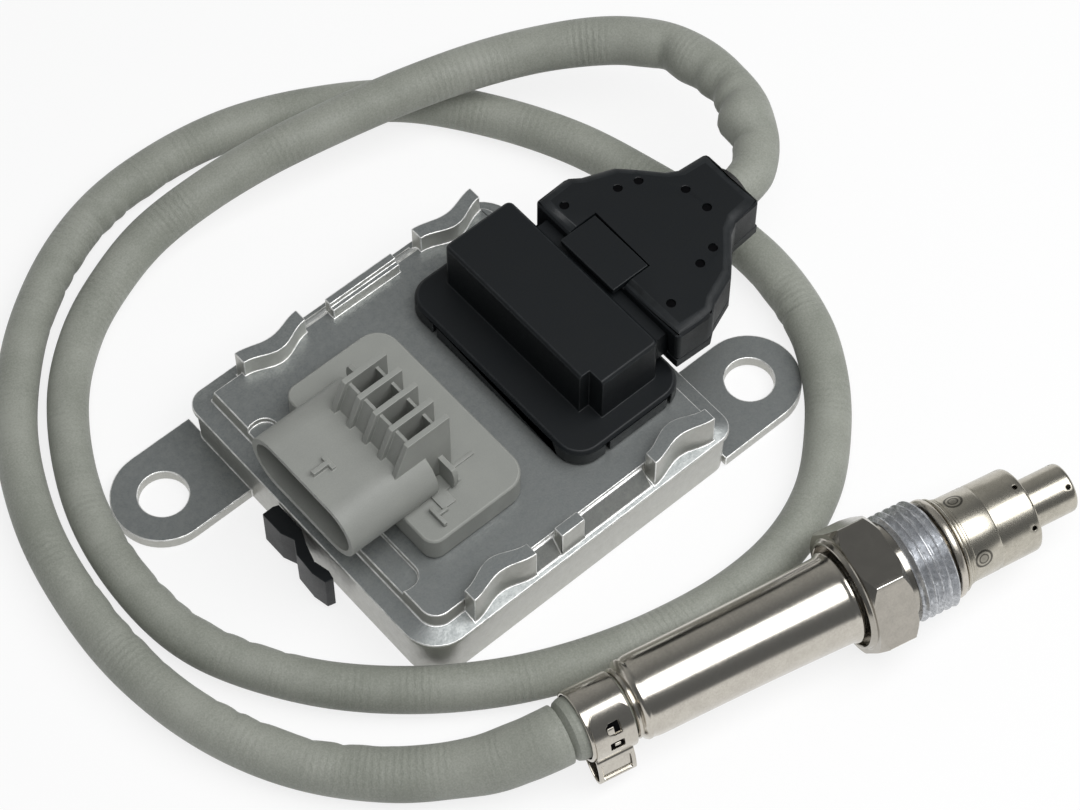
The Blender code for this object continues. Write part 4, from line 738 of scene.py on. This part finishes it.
makePadDetails(padDetails)
makePits(plugPits)
print("housing, connectors and plug ready")

# The probe, from the clamp to the nozzle. Lengths run along its axis from the rear of the long tube.


def spinProfile(profile, steps=96, turn=0.0):
    # A closed profile of (along, radius) points, turned once round the probe's axis.
    work = startWork()
    dots = [work.verts.new(probePoint(along / 1000, radius / 1000, turn)) for along, radius in profile]
    edges = [work.edges.new(pair) for pair in zip(dots, dots[1:] + dots[:1])]
    bmesh.ops.spin(work, geom=dots + edges, cent=probeRear, axis=heading, angle=2 * pi,
                   steps=steps, use_merge=True)
    bmesh.ops.remove_doubles(work, verts=work.verts, dist=1e-6)
    return work


def probePlace(point):
    # Where a point lies along the axis, how far from it and at which turn from straight up.
    away = point - probeRear
    high = away.dot(up)
    wide = away.dot(sideways)
    return away.dot(heading), hypot(high, wide), atan2(wide, high)


def drill(work, along, turn, look, radii):
    # A round hole where the wall's inner and outer rings have a vertex at the hole's middle.
    for radius in radii:
        aim = probePoint(along, radius, turn)
        middle = min(work.verts, key=lambda vert: (vert.co - aim).length_squared)
        ring = {vert for face in middle.link_faces for vert in face.verts} - {middle}
        for vert in ring:
            vert.co = middle.co + (vert.co - middle.co).normalized() * look["holeRadius"]
        bmesh.ops.delete(work, geom=[middle], context="VERTS")
    rims = [edge for edge in work.edges if edge.is_boundary]
    outer = [edge for edge in rims if probePlace(edge.verts[0].co)[1] > sum(radii) / 2]
    bmesh.ops.bridge_loops(work, edges=rims)
    bevelEdges(work, outer, look["rimWidth"])


rearTube = {
    "outer": ((-1.95, 4.9), (-1.95, 5.7), (-1.75, 6.25), (-1.4, 6.42), (-1.1, 6.3), (-0.9, 6.2),
        (-0.7, 6.45), (-0.35, 6.95), (0.0, 7.2), (0.3, 7.24), (0.55, 7.12), (0.85, 7.14), (1.4, 7.27),
        (2.4, 7.36), (6.0, 7.38), (12.0, 7.4), (18.0, 7.46), (24.0, 7.55), (30.0, 7.68), (35.0, 7.84),
        (38.0, 7.92), (38.8, 7.96), (39.25, 8.08), (39.55, 8.28), (39.85, 8.38), (40.15, 8.36),
        (40.35, 8.22)),
    "inner": ((40.35, 7.6), (36.0, 7.2), (2.4, 6.6), (0.5, 6.3), (-0.5, 4.5), (-1.95, 4.5)),
}
finishPiece("longTube", spinProfile(rearTube["outer"] + rearTube["inner"]), "polishedSteel",
            stands=("rear_tube",), sharp=60)

fitting = {
    "acrossFlats": 22.0,
    "hexRear": 41.4,
    "hexFront": 48.9,
    "chamferRadius": 11.4,
    "leastChamfer": 0.02,
    # edges along the axis that lie this far out are the hexagon's corners
    "cornerFrom": 0.01265,
    "cornerWidth": 0.00014,
    "cornerSteps": 3,
    "rear": ((42.6, 8.4), (42.6, 9.3), (40.8, 9.32), (40.62, 9.42), (40.6, 9.6), (40.68, 9.82),
        (40.95, 9.98), (41.25, 10.12), (41.4, 10.35)),
    "front": ((48.9, 9.4), (49.02, 9.1), (49.35, 9.0), (51.3, 9.0), (51.3, 8.4)),
    "threadRear": 50.8,
    "threadFront": 58.2,
    "pitch": 1.5,
    "turns": 9,
    "steps": 90,
    "ridge": ((0.0, 9.12), (0.3, 9.3), (0.55, 9.75), (0.7, 9.97), (0.86, 9.97), (1.00, 9.75), (1.25, 9.3)),
    "bore": 8.4,
    "merge": 0.00002,
    "pasteRoughness": 0.13,
    # strands of paste across a turn and round the axis, and the fine ones' share
    "strands": (7.5, 1.6),
    "fineStrands": (17, 4, 0.6),
}


def makeNut(look):
    # Four rings, told apart by their radius, become the hexagon's flats and the cones at its ends.
    flat = look["acrossFlats"] / 2
    chamfer = look["chamferRadius"]
    least = look["leastChamfer"]
    marks = (20, 21, 22, 23)
    ends = (look["hexRear"], look["hexRear"], look["hexFront"], look["hexFront"])
    work = spinProfile(look["rear"] + tuple(zip(ends, marks)) + look["front"])
    for vert in work.verts:
        along, radius, turn = probePlace(vert.co)
        mark = round(radius * 1000)
        if mark not in marks:
            continue
        ring = marks.index(mark)
        off = (turn + pi / 6) % (pi / 3) - pi / 6
        corner = flat / cos(off)
        if ring in (0, 3):
            place, reach = ends[ring], min(chamfer, corner - least)
        else:
            place, reach = ends[ring] + (1 if ring == 1 else -1) * max(corner - chamfer, least), corner
        vert.co = probePoint(place / 1000, reach / 1000, turn)
    corners = [edge for edge in work.edges
               if abs((edge.verts[0].co - edge.verts[1].co).normalized().dot(heading)) > 0.99
               and all(probePlace(vert.co)[1] > look["cornerFrom"] for vert in edge.verts)]
    roundOff(work, corners, look["cornerWidth"], look["cornerSteps"])
    finishPiece("hexagonNut", work, "nickelSteel", stands=("hex_fitting",), sharp=24,
                body="fitting")


def roughenThread(work, look, pitch):
    # Paste lies on the ridges in strands that follow the helix.
    across, around = look["strands"]
    fineAcross, fineAround, share = look["fineStrands"]
    for vert in work.verts:
        along, radius, turn = probePlace(vert.co)
        lane = along / pitch - turn / (2 * pi)
        strand = noise.noise(Vector((lane * across, cos(turn) * around, sin(turn) * around)))
        fine = noise.noise(Vector((lane * fineAcross, cos(turn) * fineAround,
                                   sin(turn) * fineAround)))
        vert.co = probePoint(along, radius + (strand + share * fine) * look["pasteRoughness"] / 1000, turn)


def makeThread(look):
    # One ridge swept along a helix, cut flat at both ends and closed round the bore.
    pitch = look["pitch"] / 1000
    steps = look["steps"]
    first = look["threadRear"] / 1000 - 2 * pitch
    work = bmesh.new()
    ridge = look["ridge"] + ((look["pitch"], look["ridge"][0][1]),)
    dots = [work.verts.new(probePoint(first + along / 1000, radius / 1000)) for along, radius in ridge]
    edges = [work.edges.new(pair) for pair in zip(dots, dots[1:])]
    bmesh.ops.spin(work, geom=dots + edges, cent=probeRear, axis=heading, dvec=heading * pitch / steps,
                   angle=2 * pi * look["turns"], steps=steps * look["turns"])
    bmesh.ops.remove_doubles(work, verts=work.verts, dist=look["merge"])
    roughenThread(work, look, pitch)
    for place, side in (("threadRear", "clear_inner"), ("threadFront", "clear_outer")):
        everything = [*work.verts, *work.edges, *work.faces]
        bmesh.ops.bisect_plane(work, geom=everything, plane_co=probePoint(look[place] / 1000),
                               plane_no=heading, dist=1e-7, **{side: True})
    for place in (look["threadRear"] / 1000, look["threadFront"] / 1000):
        turned = Matrix.Translation(probePoint(place)) @ axesAs(up, sideways, heading)
        circle = bmesh.ops.create_circle(work, segments=steps, radius=look["bore"] / 1000,
                                         matrix=turned)["verts"]
        rim = {edge for edge in work.edges if edge.is_boundary
               and all(abs(probePlace(vert.co)[0] - place) < 1e-5 for vert in edge.verts)}
        rim.update(edge for vert in circle for edge in vert.link_edges)
        bmesh.ops.triangle_fill(work, edges=list(rim), normal=heading, use_beauty=True)
    bmesh.ops.bridge_loops(work, edges=[edge for edge in work.edges if edge.is_boundary])
    finishPiece("pastedThread", work, "threadPaste", stands=("hex_fitting",), sharp=55,
                body="fitting")


makeNut(fitting)
makeThread(fitting)

gasket = ((58.9, 7.3), (58.9, 8.95), (59.05, 9.14), (59.55, 9.22), (60.05, 9.14), (60.25, 8.95),
          (60.25, 7.3))
finishPiece("frontGasket", spinProfile(gasket), "satinSteel", stands=("gasket_ring",),
            sharp=70)

protection = {
    "tube": ((60.6, 7.2), (60.6, 8.55), (60.75, 8.72), (61.05, 8.72), (61.3, 8.5), (61.45, 8.22),
        (61.55, 8.1), (61.7, 8.17), (61.9, 8.17), (62.0, 7.98), (62.1, 7.9), (62.25, 7.98), (62.5, 7.98),
        (62.6, 7.86), (62.72, 7.8), (62.85, 7.84), (63.4, 7.84), (67.85, 7.8), (68.0, 7.72), (68.2, 7.64),
        (68.35, 7.7), (68.6, 7.76), (71.0, 7.74), (73.5, 7.72), (74.05, 7.72), (74.6, 7.72), (75.15, 7.72),
        (75.6, 7.68), (75.85, 7.56), (75.97, 7.38), (76.0, 7.2), (76.0, 4.4), (75.5, 4.4), (75.5, 7.2),
        (75.15, 7.2), (74.6, 7.2), (74.05, 7.2), (73.5, 7.2)),
    "nozzle": ((75.7, 3.9), (75.7, 4.5), (80.0, 4.5), (83.2, 4.5), (83.8, 4.5), (84.2, 4.5), (84.6, 4.5),
        (84.95, 4.46), (85.2, 4.34), (85.35, 4.14), (85.4, 3.9), (85.4, 0.6), (85.0, 0.6), (84.8, 3.9),
        (84.6, 3.9), (84.2, 3.9), (83.8, 3.9)),
    # place along the axis, outer and inner radius, first hole's turn in degrees, number of holes
    "tubeHoles": (74.6, 7.72, 7.2, -5, 6),
    "nozzleHoles": (84.2, 4.5, 3.9, 28, 4),
    "holeRadius": 0.0005,
    "rimWidth": 0.00007,
    "steps": 72,
}


def makeProtection(look):
    for name, profile, holes in (("gasTube", "tube", "tubeHoles"), ("gasNozzle", "nozzle", "nozzleHoles")):
        along, outer, inner, first, count = look[holes]
        turn = radians(first)
        work = spinProfile(look[profile], look["steps"], turn)
        for number in range(count):
            place = turn + 2 * pi * number / count
            drill(work, along / 1000, place, look, (outer / 1000, inner / 1000))
        finishPiece(name, work, "spottedSteel", stands=("outer_protection_tube",),
                    sharp=50)


makeProtection(protection)
print("long tube, fitting and tip ready")

# Turns are in degrees from straight up, thicknesses and rounding in metres.
clamp = {
    "band": ((-10.5, 5.9), (-10.5, 6.3), (-10.38, 6.42), (-10.2, 6.46), (-2.6, 6.46), (-2.42, 6.42),
        (-2.3, 6.3), (-2.3, 5.9)),
    "strapMiddle": -6.25,
    "strapHalf": 3.75,
    "strapTurns": (14, 112),
    "strapEnd": 2.6,
    "strapRadius": 6.74,
    "strapThickness": 0.00046,
    "strapGrid": (36, 72),
    # the raised end: height in metres, length, how sharply it rises
    "strapLift": (0.00045, 3.0, 1.4),
    # from, to, first turn, last turn
    "windows": ((-7.5, -5.1, 38, 57), (-7.6, -5.0, 70, 83)),
    "windowRound": 0.52,
    # which rims are smoothed: reach, and turns from the strap's ends; then how often and how much
    "rimZone": (1.6, 12),
    "rimSmoothing": (3, 0.4),
    # dark sheets under the windows, painted shadow: radius, thickness, grid
    "slotRadius": 0.00648,
    "slotThickness": 0.00003,
    "slotGrid": (6, 8),
    # place and size of each tab
    "tabs": (((-6.85, 50), (1.25, 1.5)), ((-6.25, 74.5), (1.1, 0.7))),
    "tabLift": 0.12,
    "tabTilt": radians(-12),
    "tabThickness": 0.00035,
    "tabRounding": 0.00012,
    # turn and radius along the ear's sheet
    "ear": ((106, 6.55), (108.5, 7.1), (112, 7.55), (115, 8.05), (119, 8.7), (123, 9.35), (126.5, 9.95),
        (130, 10.5), (134, 10.75), (139, 10.7), (143, 10.15), (147, 9.3), (151, 8.4), (155, 7.5),
        (160, 6.6)),
    "earPlace": (-10.2, -3.3),
    "earGrid": (24, 42),
    "earEdge": 0.09,
    # the dimple: from and to in the ear's points, turn and depth
    "earDimple": (2.2, 6.4, 0.55 * 5.5, 0.55 * 0.55),
    "earThickness": 0.00045,
    "brokenEdge": 0.22,
}


def rolled(size, shape):
    # A flat grid wrapped onto the probe: shape gives (along, radius, turn) for each share across and down.
    work = bmesh.new()
    bmesh.ops.create_grid(work, x_segments=size[0], y_segments=size[1], size=0.5)
    for vert in work.verts:
        vert.co = probePoint(*shape(vert.co.x + 0.5, vert.co.y + 0.5))
    return work


def finishClamp(name, work, finish, sharp=35, thickness=0.0):
    # A sheet gets a wall of even thickness on both sides, with its edges just broken.
    piece = finishPiece(name, work, finish, stands=("ear_clamp",), sharp=sharp)
    if thickness:
        wall = piece.modifiers.new("wall", "SOLIDIFY")
        wall.thickness = thickness
        wall.offset = 0
        edge = piece.modifiers.new("brokenEdge", "BEVEL")
        edge.width = thickness * clamp["brokenEdge"]
        edge.segments = 2
        edge.limit_method = "ANGLE"
        edge.angle_limit = radians(50)


def strapHoles(work, look):
    # The faces inside the two windows. The first window has a round left half.
    holes = []
    for face in work.faces:
        along, _, turn = probePlace(face.calc_center_median())
        along *= 1000
        turn = degrees(turn)
        for number, (low, high, start, end) in enumerate(look["windows"]):
            if low < along < high and start < turn < end:
                across = (along - low) / (high - low) - 0.5
                down = (turn - start) / (end - start) - 0.5
                if number or across > 0 or hypot(across, down) < look["windowRound"]:
                    holes.append(face)
    return holes


def makeStrap(look):
    first, last = (radians(value) for value in look["strapTurns"])
    end = look["strapEnd"]
    height, length, power = look["strapLift"]

    def shape(across, down):
        turn = first + (last - first) * down
        run = (turn - first) * look["strapRadius"]
        half = look["strapHalf"]
        if run < end:
            half -= end * (1 - sqrt(max(1 - (1 - run / end) ** 2, 0)))
        lift = height * (1 - min(run / length, 1)) ** power
        along = look["strapMiddle"] + half * (2 * across - 1)
        return along / 1000, look["strapRadius"] / 1000 + lift, turn

    work = rolled(look["strapGrid"], shape)
    bmesh.ops.delete(work, geom=strapHoles(work, look), context="FACES")
    reach, apart = look["rimZone"]
    low, high = look["strapTurns"][0] + apart, look["strapTurns"][1] - apart
    rim = [vert for vert in work.verts if vert.is_boundary
           and abs(probePlace(vert.co)[0] * 1000 - look["strapMiddle"]) < reach
           and low < degrees(probePlace(vert.co)[2]) < high]
    passes, factor = look["rimSmoothing"]
    for _ in range(passes):
        bmesh.ops.smooth_vert(work, verts=rim, factor=factor, use_axis_x=True, use_axis_y=True,
                              use_axis_z=True)
    finishClamp("clampStrap", work, "polishedSteel", sharp=40, thickness=look["strapThickness"])
    # Dark sheets under the windows stand for the shade inside them: painted shadow.
    for number, (low, high, start, end) in enumerate(look["windows"], 1):
        floor = rolled(look["slotGrid"], lambda across, down: (
            (low + (high - low) * across) / 1000, look["slotRadius"],
            radians(start + (end - start) * down)))
        finishClamp(f"clampSlotShadow{number}", floor, "deepShadow", thickness=look["slotThickness"])


def makeEar(look):
    profile = look["ear"]
    rear, front = look["earPlace"]
    low, high, dimpleTurn, dimpleDepth = look["earDimple"]

    def shape(across, down):
        place = down * (len(profile) - 1)
        index = min(int(place), len(profile) - 2)
        share = place - index
        turn = profile[index][0] + (profile[index + 1][0] - profile[index][0]) * share
        radius = profile[index][1] + (profile[index + 1][1] - profile[index][1]) * share
        if min(across, 1 - across) > look["earEdge"] and low < place < high:
            turn += dimpleTurn
            radius -= dimpleDepth
        return (rear + (front - rear) * across) / 1000, radius / 1000, radians(turn)

    finishClamp("clampEar", rolled(look["earGrid"], shape), "polishedSteel", sharp=32,
                thickness=look["earThickness"])


def makeTabs(look):
    for number, ((along, turn), (long, wide)) in enumerate(look["tabs"], 1):
        work = bmesh.new()
        turn = radians(turn)
        outward = probePoint(0, 1, turn) - probeRear
        facing = axesAs(heading, heading.cross(outward), outward)
        tilt = Matrix.Rotation(look["tabTilt"], 4, "X")
        size = Matrix.Diagonal((long / 1000, wide / 1000, look["tabThickness"], 1))
        radius = (look["strapRadius"] + look["tabLift"]) / 1000
        middle = Matrix.Translation(probePoint(along / 1000, radius, turn))
        bmesh.ops.create_cube(work, size=1, matrix=middle @ facing @ tilt @ size)
        bevelEdges(work, work.edges[:], look["tabRounding"])
        finishClamp(f"clampTab{number}", work, "polishedSteel", sharp=50)


finishClamp("clampBand", spinProfile(clamp["band"]), "polishedSteel", sharp=50)
makeStrap(clamp)
makeEar(clamp)
makeTabs(clamp)
print("clamp ready")

# Floor, light and world. The softbox hangs over the near side, where the tube shows its streak.

studio = {
    "floorSize": 60.0,
    "floorDrop": 0.0002,
    "floorColor": (0.93, 0.93, 0.93, 1),
    "floorGlow": 0.8,
    "boxAim": (0.18, -0.36, 0.92),
    "boxDistance": 0.62,
    "boxSize": (0.8, 0.42),
    "boxPower": 4.2,
    "room": (0.15, 0.155, 0.16, 1),
    "backWall": (0.42, 0.42, 0.41, 1),
    "skirting": (0.93, 0.93, 0.93, 1),
    # where the back wall fades in and where the pale strip does
    "backRange": (0.2, 0.95),
    "stripRange": (0.08, 0.01),
}


def addSoftbox(look):
    light = bpy.data.lights.new("softbox", "AREA")
    light.shape = "RECTANGLE"
    light.size, light.size_y = look["boxSize"]
    light.energy = look["boxPower"]
    toBox = Vector(look["boxAim"]).normalized()
    wide = (heading - toBox * heading.dot(toBox)).normalized()
    place = Matrix.Translation(toBox * look["boxDistance"])
    addObject("softbox", light).matrix_world = place @ axesAs(wide, toBox.cross(wide), toBox)


def makeFloor(look):
    # A floor that glows a little where a camera, glossy or transmission ray meets it.
    work = bmesh.new()
    bmesh.ops.create_grid(work, x_segments=1, y_segments=1, size=look["floorSize"] / 2)
    bmesh.ops.translate(work, verts=work.verts, vec=(0, 0, -look["floorDrop"]))
    mesh = bpy.data.meshes.new("studioFloor")
    work.to_mesh(mesh)
    work.free()
    floor = addObject("studioFloor", mesh)
    shade = bpy.data.materials.new("paleFloor")
    shade.use_nodes = True
    tree = shade.node_tree
    tree.nodes.clear()
    matte = addNode(tree, "BsdfDiffuse", {"Color": look["floorColor"]})
    white = addNode(tree, "Emission", {"Color": (1, 1, 1, 1)})
    rays = addNode(tree, "LightPath")
    seen = addMath(tree, "ADD")
    through = addNode(tree, "Math", operation="ADD", use_clamp=True)
    amount = addMath(tree, "MULTIPLY", look["floorGlow"])
    mix = addNode(tree, "MixShader")
    end = addNode(tree, "OutputMaterial")
    wire(tree, (rays, "Is Camera Ray", seen, 0), (rays, "Is Glossy Ray", seen, 1), (seen, through),
         (rays, "Is Transmission Ray", through, 1), (through, amount), (amount, mix),
         (matte, "BSDF", mix, 1), (white, "Emission", mix, 2), (mix, end))
    mesh.materials.append(shade)


def makeWorld(look):
    # A dim room with a lighter wall at the back and a pale strip just over the floor.
    world = bpy.data.worlds.new("studioWorld")
    bpy.context.scene.world = world
    world.use_nodes = True
    tree = world.node_tree
    tree.nodes.clear()
    place = addNode(tree, "TexCoord")
    parts = addNode(tree, "SeparateXYZ")
    back = addRange(tree, look["backRange"], interpolation_type="SMOOTHSTEP")
    low = addRange(tree, look["stripRange"], interpolation_type="SMOOTHSTEP")
    wall = addNode(tree, "Mix", {"A": look["room"], "B": look["backWall"]}, data_type="RGBA")
    strip = addNode(tree, "Mix", {"B": look["skirting"]}, data_type="RGBA")
    light = addNode(tree, "Background")
    end = addNode(tree, "OutputWorld")
    wire(tree, (place, "Generated", parts, "Vector"), (parts, "Y", back, "Value"),
         (parts, "Z", low, "Value"), (back, "Result", wall, "Factor"), (low, "Result", strip, "Factor"),
         (wall, "Result", strip, "A"), (strip, "Result", light, "Color"), (light, end))


makeFloor(studio)
makeWorld(studio)
addSoftbox(studio)
bpy.context.scene.view_settings.view_transform = "Standard"
print("floor, light and world ready")
